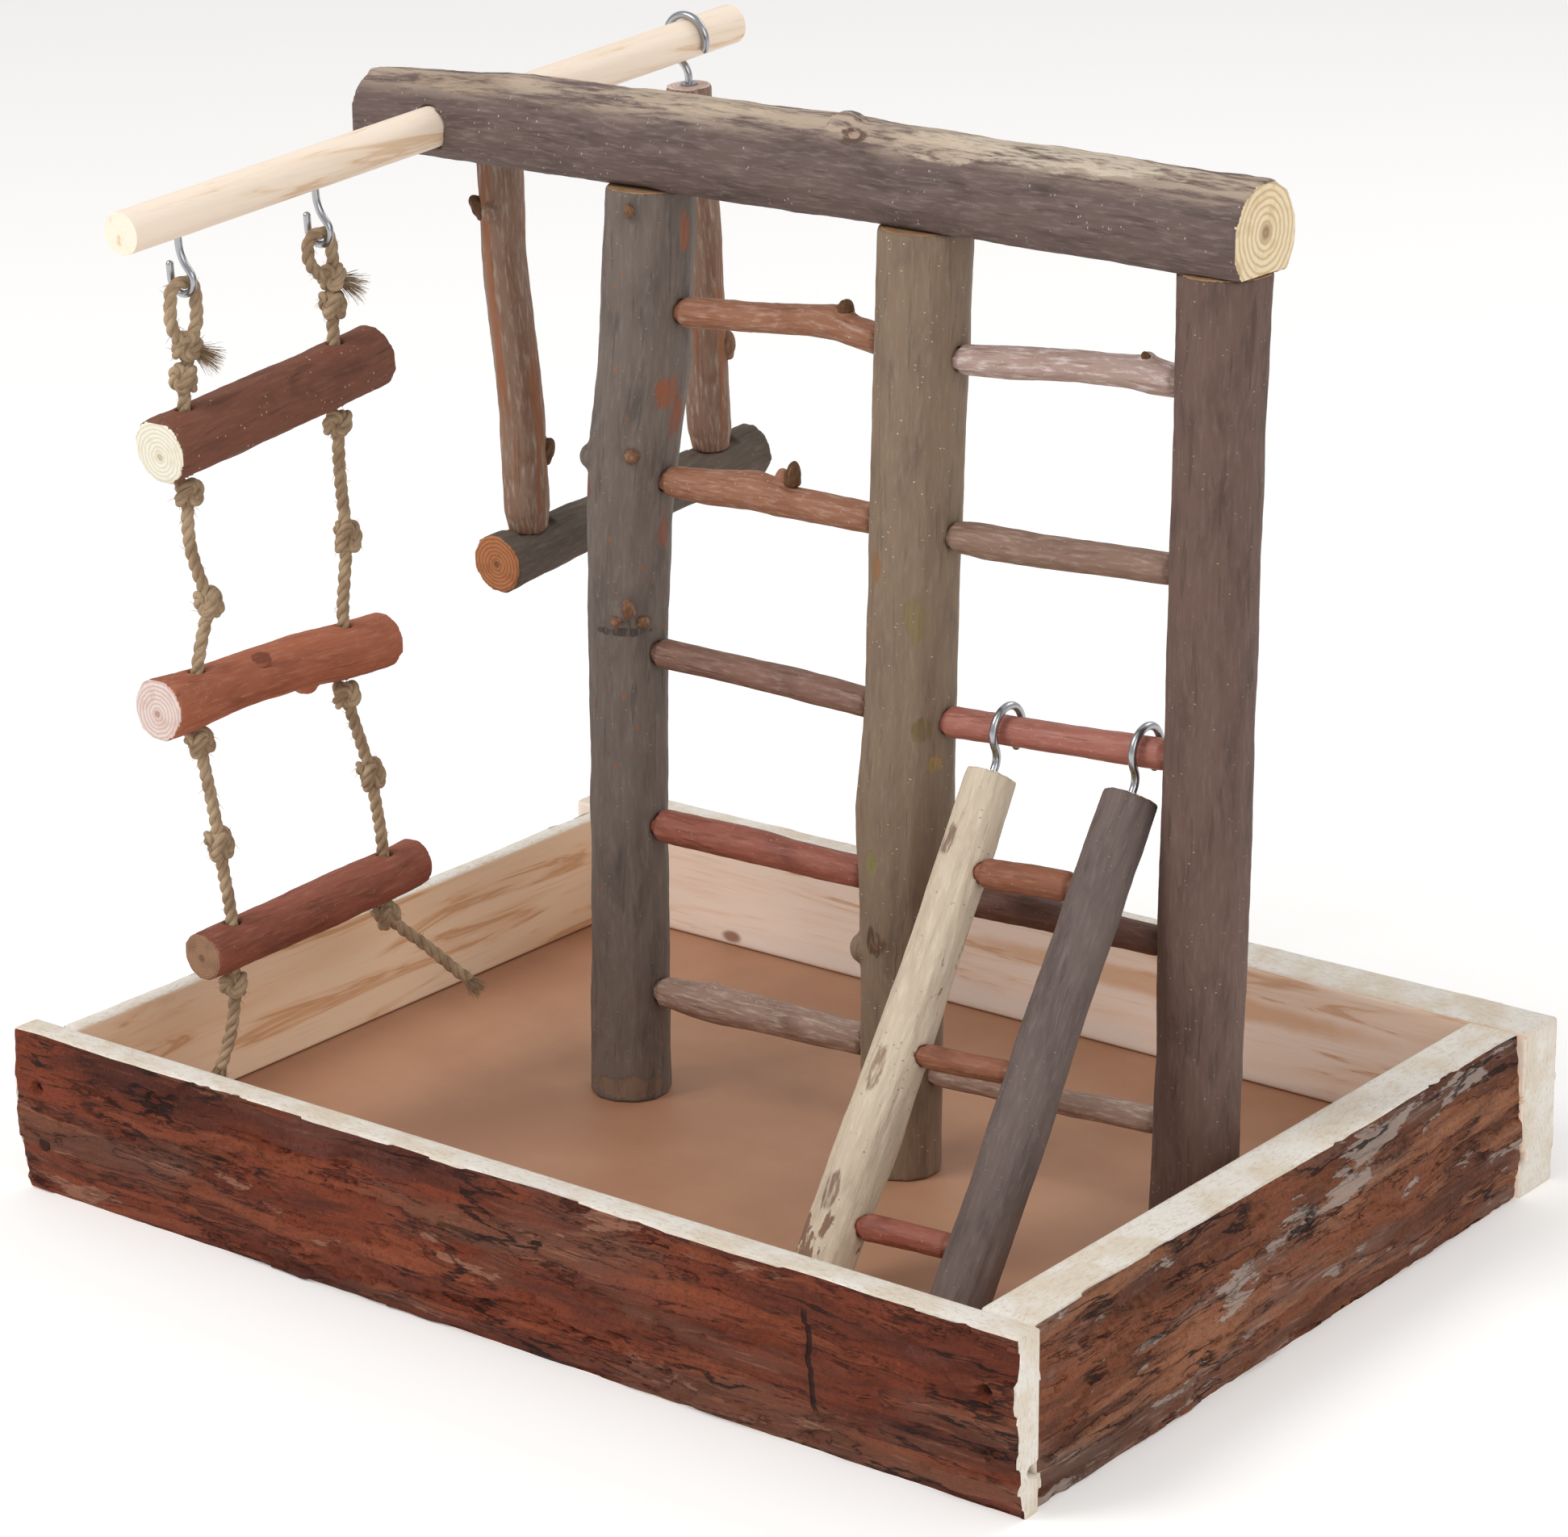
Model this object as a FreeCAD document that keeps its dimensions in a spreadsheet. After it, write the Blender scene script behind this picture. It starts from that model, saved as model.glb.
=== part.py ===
import FreeCAD, Part
import math
import os

# Parrot play stand: a bark-edged tray with a branch frame standing across it, a rope
# ladder and a swing on a dowel through the top beam, and a ladder leaning on one rung.
# Millimetres. X runs along the tray's long front board, Y to the back, Z up.
# The origin is the middle of the tray's underside.

Vector = FreeCAD.Vector
Rotation = FreeCAD.Rotation
Placement = FreeCAD.Placement

doc = FreeCAD.newDocument("play_stand")

# ---------------------------------------------------------------- driving dimensions

SIZES = (
    # tray
    ("tray_length", 380.0, "front and back boards, end to end"),
    ("tray_depth", 293.0, "outer top edge of the front board to that of the back board"),
    ("wall_height", 55.0, "all four boards"),
    ("front_wall", 11.2, "front slab at its thickest"),
    ("back_wall", 21.0, "back slab at its thickest"),
    ("left_wall", 17.2, "left slab at its thickest"),
    ("right_wall", 20.5, "right slab at its thickest"),
    ("front_log", 150.0, "radius of the bark face of the front slab"),
    ("back_log", 450.0, "radius of the bark face of the back slab"),
    ("left_log", 62.0, "radius of the bark face of the left slab"),
    ("right_log", 227.0, "radius of the bark face of the right slab"),
    ("front_belly", 35.7, "height at which the front slab is thickest"),
    ("back_belly", 25.0, "height at which the back slab is thickest"),
    ("left_belly", 18.0, "height at which the left slab is thickest"),
    ("right_belly", 20.0, "height at which the right slab is thickest"),
    ("floor_top", 15.0, "top of the hardboard floor above the table"),
    ("floor_board", 3.5, "thickness of the hardboard"),
    ("groove_depth", 5.0, "floor groove in each board"),
    ("groove_play", 0.2, "room above the hardboard in its groove"),
    ("groove_end", 0.5, "room past the edge of the hardboard in its groove"),
    ("nail_diameter", 2.0, "board nails"),
    ("nail_length", 32.0, "board nails under the head"),
    ("nail_head", 4.4, "diameter of the nail heads"),
    ("nail_head_height", 1.0, "thickness of the nail heads"),
    ("nail_low", 17.5, "height of the lower nails"),
    ("nail_high", 37.0, "height of the upper nails"),
    ("nail_inset", 10.0, "nails in from the ends of the front and back boards"),
    ("nail_sink", 2.2, "how deep a nail's head lies under the thickest bark"),
    ("fastener_play", 0.05, "room round nails, screws and pins"),
    # frame
    ("frame_depth", 4.4, "frame plane behind the middle of the tray"),
    ("frame_top", 311.0, "tops of the posts, where the beam's planed face rests"),
    ("left_post_at", -66.3, "foot of the left post along the tray"),
    ("middle_post_at", 41.2, "foot of the middle post along the tray"),
    ("right_post_at", 147.6, "foot of the right post along the tray"),
    ("left_post_girth", 25.4, "left post at its foot"),
    ("middle_post_girth", 24.6, "middle post at its foot"),
    ("right_post_girth", 26.6, "right post at its foot"),
    ("beam_start", -162.0, "left end of the top beam"),
    ("beam_length", 326.0, "top beam"),
    ("beam_girth", 29.0, "top beam, before its underside is planed"),
    ("beam_height", 322.0, "middle of the top beam at its ends"),
    ("pin_diameter", 6.0, "wooden pins between beam and posts"),
    ("pin_length", 26.0, "wooden pins between beam and posts, half in each"),
    ("screw_diameter", 3.5, "screws up into the posts and the swing arms"),
    ("screw_head", 7.0, "diameter of the screw heads"),
    ("screw_head_height", 2.2, "thickness of the screw heads"),
    ("post_screw_length", 28.0, "screws through the floor into the posts"),
    # rungs of the frame
    ("rung_tenon", 6.5, "round tenons on the rungs"),
    ("tenon_length", 7.0, "how far a rung goes into a post"),
    ("rung_shoulder", 1.6, "length of the shaved shoulder of a rung"),
    ("shoulder_gap", 0.15, "room between a shoulder and the bark"),
    ("socket_play", 0.05, "room round a tenon in its socket"),
    ("socket_end", 0.6, "room past the end of a tenon"),
    ("rung_height_1", 273.4, "rungs of the frame, from the top"),
    ("rung_height_2", 219.6, "second rungs"),
    ("rung_height_3", 164.0, "third rungs"),
    ("rung_height_4", 107.6, "fourth rungs"),
    ("rung_height_5", 51.0, "lowest rungs"),
    ("left_rung_1_girth", 9.4, "first rung of the left bay, counted from the top"),
    ("left_rung_2_girth", 10.0, "second rung of the left bay, counted from the top"),
    ("left_rung_3_girth", 9.5, "third rung of the left bay, counted from the top"),
    ("left_rung_4_girth", 10.6, "fourth rung of the left bay, counted from the top"),
    ("left_rung_5_girth", 11.0, "fifth rung of the left bay, counted from the top"),
    ("right_rung_1_girth", 9.4, "first rung of the right bay, counted from the top"),
    ("right_rung_2_girth", 9.8, "second rung of the right bay, counted from the top"),
    ("right_rung_3_girth", 9.4, "third rung of the right bay, counted from the top"),
    ("right_rung_4_girth", 9.6, "fourth rung of the right bay, counted from the top"),
    ("right_rung_5_girth", 8.2, "fifth rung of the right bay, counted from the top"),
    # dowel and what hangs from it
    ("dowel_at", -130.0, "dowel along the tray"),
    ("dowel_diameter", 13.0, "dowel through the beam"),
    ("dowel_length", 285.0, "dowel through the beam"),
    ("dowel_height", 322.15, "middle of the dowel"),
    ("dowel_rise", 4.33, "degrees by which the dowel climbs to the back"),
    ("dowel_play", 0.05, "room round the dowel in the beam"),
    ("wire", 2.5, "wire of the hooks of the swing and the leaning ladder"),
    ("collar_diameter", 5.6, "collar on the shank of those hooks"),
    ("collar_height", 0.8, "collar on the shank of those hooks"),
    ("shank_depth", 13.0, "how far a hook is screwed in"),
    ("hook_play", 0.3, "room between the swing's hooks and the dowel"),
    ("rope_hook_wire", 2.3, "wire of the cup hooks under the dowel"),
    ("rope_hook_bend", 4.45, "bend radius of the cup hooks, at the middle of the wire"),
    ("rope_hook_drop", 12.8, "middle of the cup hook's bend below the dowel"),
    ("rope_hook_depth", 8.0, "how far a cup hook is screwed into the dowel"),
    ("rope_hook_front", -119.9, "front cup hook along the dowel"),
    ("rope_hook_back", -60.8, "back cup hook along the dowel"),
    ("rope_hook_tip", 4.0, "straight tip of a cup hook"),
    # swing
    ("swing_front", 23.6, "front arm along the dowel"),
    ("swing_spacing", 95.6, "between the arms"),
    ("arm_girth", 14.5, "swing arms"),
    ("arm_top", 15.2, "top of an arm below the dowel's middle"),
    ("perch_drop", 147.0, "middle of the swing's perch below the dowel's middle"),
    ("perch_girth", 17.6, "swing perch"),
    ("perch_start", 7.0, "front end of the perch along the dowel"),
    ("perch_length", 133.5, "swing perch"),
    ("perch_flat", 2.0, "depth of the flats that the arms stand on"),
    ("perch_screw_seat", 5.0, "head of a perch screw below the perch's middle"),
    ("perch_screw_length", 28.0, "screws through the perch into the arms"),
    # rope ladder
    ("rope_diameter", 4.0, "jute rope"),
    ("rope_hole", 5.0, "holes for the rope"),
    ("rope_rung_1_girth", 19.8, "top rung of the rope ladder"),
    ("rope_rung_2_girth", 17.5, "middle rung of the rope ladder"),
    ("rope_rung_3_girth", 15.6, "bottom rung of the rope ladder"),
    ("rope_rung_1_length", 94.5, "top rung of the rope ladder"),
    ("rope_rung_2_length", 100.0, "middle rung of the rope ladder"),
    ("rope_rung_3_length", 98.0, "bottom rung of the rope ladder"),
    ("knot_radius", 4.9, "knots in the rope"),
    ("knot_gap", 0.3, "room between a rung and the knot under it"),
    # leaning ladder
    ("ladder_lean", 33.2, "degrees of the ladder from upright"),
    ("ladder_left_at", 79.6, "left rail along the tray"),
    ("ladder_right_at", 128.3, "right rail along the tray"),
    ("left_rail_girth", 17.4, "left rail at its foot"),
    ("right_rail_girth", 17.4, "right rail at its foot"),
    ("rail_top", 14.0, "top of a rail below the rung that it hangs on"),
    ("ladder_hook_play", 1.5, "room between a ladder hook and the rung"),
    ("ladder_rung_girth", 8.4, "rungs of the leaning ladder"),
    ("ladder_tenon", 6.0, "round tenons on those rungs"),
    ("ladder_rung_1", 43.5, "top rung below the hooks, along the rails"),
    ("ladder_rung_2", 100.0, "middle rung"),
    ("ladder_rung_3", 152.5, "bottom rung"),
    ("foot_gap", 0.05, "room between the ladder's feet and the floor"),
)

sheet = doc.addObject("Spreadsheet::Sheet", "Sizes")
for row, (alias, value, note) in enumerate(SIZES, start=1):
    sheet.set("A%d" % row, alias)
    sheet.set("B%d" % row, str(value))
    sheet.set("C%d" % row, note)
    sheet.setAlias("B%d" % row, alias)
doc.recompute()


def size(alias):
    """A driving dimension as a number."""
    return float(sheet.get(alias))


def bind(thing, **expressions):
    """Tie properties of a document object to the sheet."""
    for path, expression in expressions.items():
        thing.setExpression(path, expression)


def bind_base(thing, x, y, z):
    """Tie the position of a document object to the sheet."""
    for axis, expression in (("x", x), ("y", y), ("z", z)):
        thing.setExpression("Placement.Base." + axis, expression)


nodes = []


def node(thing, label):
    """Name a finished sub-part and keep it for the export."""
    thing.Label = label
    nodes.append(thing)
    return thing


# ---------------------------------------------------------------- small makers


def box(name, length, width, height, x, y, z):
    """A box from its three sizes and its low corner, all as expressions."""
    thing = doc.addObject("Part::Box", name)
    bind(thing, Length=length, Width=width, Height=height)
    bind_base(thing, x, y, z)
    return thing


def rod(name, diameter, height, base, direction):
    """A cylinder from a point along a direction."""
    thing = doc.addObject("Part::Cylinder", name)
    thing.setExpression("Radius", "%s / 2" % diameter)
    thing.setExpression("Height", height)
    thing.Placement = Placement(base, Rotation(Vector(0, 0, 1), direction))
    return thing


def fuse(name, things):
    joined = doc.addObject("Part::MultiFuse", name)
    joined.Shapes = things
    return joined


def common(name, things):
    shared = doc.addObject("Part::MultiCommon", name)
    shared.Shapes = things
    return shared


def gather(name, things):
    """Several alike pieces kept as one sub-part."""
    together = doc.addObject("Part::Compound", name)
    together.Links = things
    return together


def cut(name, base, tools):
    """Take several tools out of a base."""
    tool = tools[0] if len(tools) == 1 else fuse(name + "_tools", tools)
    result = doc.addObject("Part::Cut", name)
    result.Base = base
    result.Tool = tool
    return result


SIDES = 12
# corner of a section with the area of a round one, and how far out its flats are
TO_CORNER = math.sqrt(2 * math.pi / (SIDES * math.sin(2 * math.pi / SIDES)))
TO_FLAT = TO_CORNER * math.cos(math.pi / SIDES)
HALF_SIDE = 180.0 / SIDES
# a shaved shoulder starts a little inside the flats of its branch
SHAVED = 0.95

ORIGIN = Vector(0, 0, 0)
LEFTWARD = Vector(-1, 0, 0)
RIGHTWARD = Vector(1, 0, 0)
FORWARD = Vector(0, -1, 0)
REARWARD = Vector(0, 1, 0)
UPWARD = Vector(0, 0, 1)


def stick(name, length, girth, shape):
    """A natural branch on its own Z axis, from 0 to its length.

    shape has rows of (share of the length, bend along X, bend along Y, share of the girth).
    """
    rings = []
    for share, bend_x, bend_y, thick in shape:
        ring = doc.addObject("Part::RegularPolygon", name + "_ring")
        ring.Polygon = SIDES
        ring.setExpression("Circumradius", "%s * %.5f" % (girth, thick * TO_CORNER / 2))
        ring.Placement = Placement(Vector(bend_x, bend_y, 0), Rotation(UPWARD, HALF_SIDE))
        ring.setExpression("Placement.Base.z", "(%s) * %.5f" % (length, share))
        rings.append(ring)
    loft = doc.addObject("Part::Loft", name)
    loft.Sections = rings
    loft.Solid = True
    loft.Ruled = True
    return loft


def along(shape, share):
    """Bend along X, bend along Y and share of the girth at a share of a stick's length."""
    for low, high in zip(shape, shape[1:]):
        if share <= high[0]:
            mix = (share - low[0]) / (high[0] - low[0])
            return [a + (b - a) * mix for a, b in zip(low[1:], high[1:])]
    return list(shape[-1][1:])


def bud(name, centre, length, width, direction):
    """A bud or a stub of a side twig, an egg whose long way points along a direction."""
    egg = doc.addObject("Part::Ellipsoid", name)
    egg.Radius1 = length / 2
    egg.Radius2 = width / 2
    egg.Placement = Placement(centre, Rotation(UPWARD, direction))
    return egg


# ---------------------------------------------------------------- tray

DROP = "(Sizes.{0}_log - sqrt(Sizes.{0}_log ^ 2 - (Sizes.wall_height - Sizes.{0}_belly) ^ 2))"
ACROSS = "Sizes.tray_depth / 2 - Sizes.{0}_wall + " + DROP
ALONG = "Sizes.tray_length / 2 - Sizes.{0}_wall"

# how far each board's inner face is from the middle of the tray
INNER = {
    "front": "(" + ACROSS.format("front") + ")",
    "back": "(" + ACROSS.format("back") + ")",
    "left": "(" + ALONG.format("left") + ")",
    "right": "(" + ALONG.format("right") + ")",
}
GROOVE_FOOT = "Sizes.floor_top - Sizes.floor_board"
GROOVE_HEIGHT = "Sizes.floor_board + Sizes.groove_play"


def long_board(side, sign):
    """The front or back board, sawn from a log: bark outside, a groove for the floor inside."""
    start = "-Sizes.tray_length / 2"
    length = "Sizes.tray_length"
    wall = "Sizes.%s_wall" % side
    low = INNER[side] if sign > 0 else "-%s - %s" % (INNER[side], wall)
    block = box(side + "_block", length, wall, "Sizes.wall_height", start, low, "0")
    log = doc.addObject("Part::Cylinder", side + "_log")
    bind(log, Radius="Sizes.%s_log" % side, Height=length)
    log.Placement = Placement(ORIGIN, Rotation(REARWARD, 90))
    bind_base(log, start, "%d * (%s + %s - Sizes.%s_log)" % (sign, INNER[side], wall, side),
              "Sizes.%s_belly" % side)
    low = INNER[side] if sign > 0 else "-%s - Sizes.groove_depth" % INNER[side]
    groove = box(side + "_groove", length, "Sizes.groove_depth", GROOVE_HEIGHT,
                 start, low, GROOVE_FOOT)
    return common(side + "_sawn", [block, log]), groove


def short_board(side, sign):
    """The left or right board, which butts between the front and back boards."""
    start = "-" + INNER["front"]
    length = "%s + %s" % (INNER["front"], INNER["back"])
    wall = "Sizes.%s_wall" % side
    low = INNER[side] if sign > 0 else "-%s - %s" % (INNER[side], wall)
    block = box(side + "_block", wall, length, "Sizes.wall_height", low, start, "0")
    log = doc.addObject("Part::Cylinder", side + "_log")
    bind(log, Radius="Sizes.%s_log" % side, Height=length)
    log.Placement = Placement(ORIGIN, Rotation(RIGHTWARD, -90))
    bind_base(log, "%d * (%s + %s - Sizes.%s_log)" % (sign, INNER[side], wall, side), start,
              "Sizes.%s_belly" % side)
    low = INNER[side] if sign > 0 else "-%s - Sizes.groove_depth" % INNER[side]
    groove = box(side + "_groove", "Sizes.groove_depth", length, GROOVE_HEIGHT,
                 low, start, GROOVE_FOOT)
    return common(side + "_sawn", [block, log]), groove


def nail(name, sign_x, sign_y, height, play):
    """A nail through the front or back board into a side board, or its hole with some play."""
    side = "front" if sign_y < 0 else "back"
    face = "%d * (%s + Sizes.%s_wall - Sizes.nail_sink" % (sign_y, INNER[side], side)
    across = "%d * (Sizes.tray_length / 2 - Sizes.nail_inset)" % sign_x
    turn = Placement(ORIGIN, Rotation(UPWARD, REARWARD * -sign_y))
    shank = doc.addObject("Part::Cylinder", name + "_shank")
    bind(shank, Radius="Sizes.nail_diameter / 2 + " + play, Height="Sizes.nail_length + " + play)
    shank.Placement = turn
    bind_base(shank, across, face + ")", height)
    top = doc.addObject("Part::Cylinder", name + "_head")
    room = "0" if play == "0" else "Sizes.nail_sink"
    bind(top, Radius="Sizes.nail_head / 2 + " + play,
         Height="Sizes.nail_head_height + " + room)
    top.Placement = turn
    bind_base(top, across, face + " + " + room + ")", height)
    return fuse(name, [shank, top])


NAILS = []
NAIL_HOLES = []
for sign_x in (-1, 1):
    for sign_y in (-1, 1):
        for height in ("Sizes.nail_low", "Sizes.nail_high"):
            NAILS.append(nail("nail", sign_x, sign_y, height, "0"))
            NAIL_HOLES.append(nail("nail_hole", sign_x, sign_y, height, "Sizes.fastener_play"))
node(gather("nails", NAILS), "board_nails")

for side, sign in (("front", -1), ("back", 1)):
    sawn, groove = long_board(side, sign)
    first = 0 if sign < 0 else 2
    holes = [NAIL_HOLES[i] for i in (first, first + 1, first + 4, first + 5)]
    node(cut(side, sawn, [groove] + holes), side + "_board")

for side, sign in (("left", -1), ("right", 1)):
    sawn, groove = short_board(side, sign)
    first = 0 if sign < 0 else 4
    node(cut(side, sawn, [groove] + NAIL_HOLES[first:first + 4]), side + "_board")

TONGUE = "(Sizes.groove_depth - Sizes.groove_end)"
hardboard = box("hardboard",
                "%s + %s + 2 * %s" % (INNER["left"], INNER["right"], TONGUE),
                "%s + %s + 2 * %s" % (INNER["front"], INNER["back"], TONGUE),
                "Sizes.floor_board",
                "-%s - %s" % (INNER["left"], TONGUE),
                "-%s - %s" % (INNER["front"], TONGUE), GROOVE_FOOT)

# ---------------------------------------------------------------- posts

FRAME_Y = size("frame_depth")
FLOOR_Z = size("floor_top")
TOP_Z = size("frame_top")
POST_LENGTH = "Sizes.frame_top - Sizes.floor_top"

# share of the height, lean to the right, lean to the back, share of the girth
POST_SHAPES = {
    "left": ((0, 0, 0, 1.0), (0.236, 1.0, 0, 0.957), (0.507, 1.8, 0, 0.965), (0.642, 3.1, 0, 1.03),
             (0.72, 5.5, 0, 1.11), (0.811, 10.0, 0, 1.10), (1, 13.5, 0, 1.06)),
    "middle": ((0, 0, 0, 1.0), (0.25, 0.1, 0, 1.03), (0.345, 1.1, 0, 1.17), (0.40, 1.2, 0, 1.20),
               (0.50, 2.9, 0, 1.11), (0.70, 4.8, 0, 1.11), (1, 8.0, 0, 1.14)),
    "right": ((0, 0, 0, 1.0), (0.22, 1.1, 0, 0.955), (0.38, 1.4, 0, 1.0), (0.55, 2.0, 0, 0.975),
              (0.84, 2.9, 0, 0.97), (1, 3.6, 0, 1.02)),
}
# knots left by side twigs: height, which way they point, length, width
POST_KNOTS = {
    "left": ((301.0, LEFTWARD, 6.0, 9.0), (226.0, Vector(-0.7, -0.7, 0), 6.0, 8.0),
             (178.6, Vector(0.5, -0.9, 0), 6.0, 7.0)),
    "middle": ((87.2, Vector(-0.8, -0.6, 0), 7.0, 9.0),),
    "right": (),
}


def post_at(side, height):
    """Middle of a post at a height, and how far out its flat sides are there."""
    share = (height - FLOOR_Z) / (TOP_Z - FLOOR_Z)
    lean_x, lean_y, thick = along(POST_SHAPES[side], share)
    middle = Vector(size(side + "_post_at") + lean_x, FRAME_Y + lean_y, height)
    return middle, size(side + "_post_girth") / 2 * thick * TO_FLAT


# ---------------------------------------------------------------- rungs


def flat_turn(direction):
    """Turn of a stick that lies along the frame: its own -X side is on top."""
    return Rotation(REARWARD, 90 - math.degrees(math.atan2(direction.z, direction.x)))


def rung(name, girth, tenon, start, end, reach_start, reach_end, shape, buds=()):
    """A rung between two uprights, with a shaved shoulder and a round tenon at each end.

    start and end are on the middles of the uprights, reach is how far out their sides are.
    buds has (share of the length, height above the rung's straight middle, length, width).
    Returns the rung and the two sockets that its uprights need.
    """
    direction = (end - start).normalize()
    gap = size("shoulder_gap")
    length = (end - start).Length - reach_start - reach_end - 2 * gap
    turn = flat_turn(direction)
    shoulder = size("rung_shoulder")
    branch_length = "%.4f - 2 * Sizes.rung_shoulder" % length
    branch = stick(name + "_branch", branch_length, girth, shape)
    branch.setExpression("Placement.Base.z", "Sizes.rung_shoulder")
    pieces = [branch]
    sockets = []
    for at_start in (True, False):
        facing = Rotation() if at_start else Rotation(RIGHTWARD, 180)
        foot = ORIGIN if at_start else Vector(0, 0, length)
        thick = shape[0][3] if at_start else shape[-1][3]
        cone = doc.addObject("Part::Cone", name + "_shoulder")
        bind(cone, Radius1="Sizes.%s / 2" % tenon, Height="Sizes.rung_shoulder",
             Radius2="%s * %.5f" % (girth, thick * TO_FLAT * SHAVED / 2))
        cone.Placement = Placement(foot, facing)
        peg = doc.addObject("Part::Cylinder", name + "_tenon")
        bind(peg, Radius="Sizes.%s / 2" % tenon, Height="Sizes.tenon_length + Sizes.shoulder_gap")
        peg.Placement = Placement(foot, facing * Rotation(RIGHTWARD, 180))
        pieces += [cone, peg]
        hole = doc.addObject("Part::Cylinder", name + "_socket")
        bind(hole, Radius="Sizes.%s / 2 + Sizes.socket_play" % tenon,
             Height="Sizes.tenon_length + 2 * Sizes.shoulder_gap + Sizes.rung_shoulder"
                    " + Sizes.socket_end")
        inward = shoulder + gap
        whole = Placement(start + direction * (reach_start + gap), turn)
        sunk = Placement(foot, facing * Rotation(RIGHTWARD, 180))
        back_off = Placement(Vector(0, 0, -inward), Rotation())
        hole.Placement = whole * sunk * back_off
        sockets.append(hole)
    for number, (share, above, long, wide) in enumerate(buds):
        centre = Vector(-above, 0, shoulder + share * (length - 2 * shoulder))
        pieces.append(bud("%s_bud" % name, centre, long, wide, LEFTWARD))
    whole = fuse(name, pieces)
    whole.Placement = Placement(start + direction * (reach_start + gap), turn)
    return whole, sockets


# each rung: rise at its left and right end against its row,
# shape rows (share of the length, drop, bend to the back, share of the girth), buds
RUNGS = {
    "left_rung_1": (-0.1, 1.9, (
        (0, 0, 0, 0.98), (0.35, -1.3, 0, 0.98), (0.66, -2.9, 0, 1.02), (0.79, -3.3, 0, 1.12),
        (0.89, -1.2, 0, 0.98), (1, 0, 0, 1.02)), ((0.84, 5.6, 6.0, 5.0),)),
    "left_rung_2": (0, 1.0, (
        (0, 0, 0, 0.96), (0.2, -0.4, 0, 1.10), (0.42, -1.8, 0, 1.23), (0.55, -1.0, 0, 1.14),
        (0.62, -0.2, 0, 0.98), (1, 0, 0, 0.95)), ((0.56, 7.4, 6.5, 5.0),)),
    "left_rung_3": (0.2, -1.4, (
        (0, 0, 0, 0.99), (0.35, -0.5, 0, 0.97), (0.7, -0.3, 0, 1.01), (1, 0, 0, 0.97)), ()),
    "left_rung_4": (-0.3, 0.5, (
        (0, 0, 0, 1.0), (0.4, -0.3, 0, 1.03), (1, 0, 0, 0.92)), ()),
    "left_rung_5": (0.2, 3.1, (
        (0, 0, 0, 0.86), (0.15, 0.2, 0, 1.03), (0.28, 0.4, 0, 1.10), (0.45, -0.1, 0, 1.05),
        (1, 0, 0, 0.92)), ((0.25, 4.6, 5.0, 6.0),)),
    "right_rung_1": (-0.8, 4.8, (
        (0, 0, 0, 0.97), (0.25, -0.5, 0, 1.03), (0.55, -1.5, 0, 0.98), (0.8, -1.4, 0, 1.02),
        (0.88, -1.2, 0, 1.13), (1, 0, 0, 1.0)), ((0.87, 5.2, 5.0, 5.0),)),
    "right_rung_2": (-0.2, 3.3, (
        (0, 0, 0, 0.95), (0.15, 0.2, 0, 1.07), (0.4, 0.6, 0, 1.0), (0.7, -0.1, 0, 1.0),
        (1, 0, 0, 0.94)), ()),
    "right_rung_3": (-2.4, 4.2, (
        (0, 0, 0, 1.0), (0.5, 0, 0, 0.98), (0.9, 0, 0, 1.0), (1, 0, 0, 1.0)), ()),
    "right_rung_4": (0.2, 2.6, (
        (0, 0, 0, 1.04), (0.5, -0.2, 0, 1.02), (1, 0, 0, 0.93)), ()),
    "right_rung_5": (-2.5, 3.0, (
        (0, 0, 0, 0.90), (0.3, 0.3, 0, 0.95), (0.6, 0.5, 0, 0.97), (1, 0, 0, 1.03)), ()),
}

SOCKETS = {"left": [], "middle": [], "right": []}
RUNG_LINES = {}
for name, (rise_start, rise_end, shape, buds) in RUNGS.items():
    side, row = name.split("_rung_")
    first, second = ("left", "middle") if side == "left" else ("middle", "right")
    height = size("rung_height_" + row)
    start, reach_start = post_at(first, height + rise_start)
    end, reach_end = post_at(second, height + rise_end)
    RUNG_LINES[name] = (start, end)
    whole, sockets = rung(name + "_whole", "Sizes." + name + "_girth", "rung_tenon", start, end,
                          reach_start, reach_end, shape, buds)
    node(whole, name)
    SOCKETS[first].append(sockets[0])
    SOCKETS[second].append(sockets[1])

# ---------------------------------------------------------------- fasteners of the frame

SCREW_SEAT = size("floor_top") - size("floor_board")


def screw(name, place, length, play):
    """A screw from its head's seat, up its own Z axis, or its hole with some play."""
    shank = doc.addObject("Part::Cylinder", name + "_shank")
    bind(shank, Radius="Sizes.screw_diameter / 2 + " + play, Height=length + " + " + play)
    head = doc.addObject("Part::Cylinder", name + "_head")
    bind(head, Radius="Sizes.screw_head / 2 + " + play, Height="Sizes.screw_head_height")
    head.setExpression("Placement.Base.z", "-Sizes.screw_head_height")
    whole = fuse(name, [shank, head])
    whole.Placement = place
    return whole


def peg(name, diameter, length, place, play):
    """A round pin half above and half below a place, or its hole with some play."""
    pin = doc.addObject("Part::Cylinder", name)
    bind(pin, Radius="%s / 2 + %s" % (diameter, play), Height="%s + 2 * %s" % (length, play))
    pin.Placement = place * Placement(Vector(0, 0, -size("pin_length") / 2), Rotation())
    return pin


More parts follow.
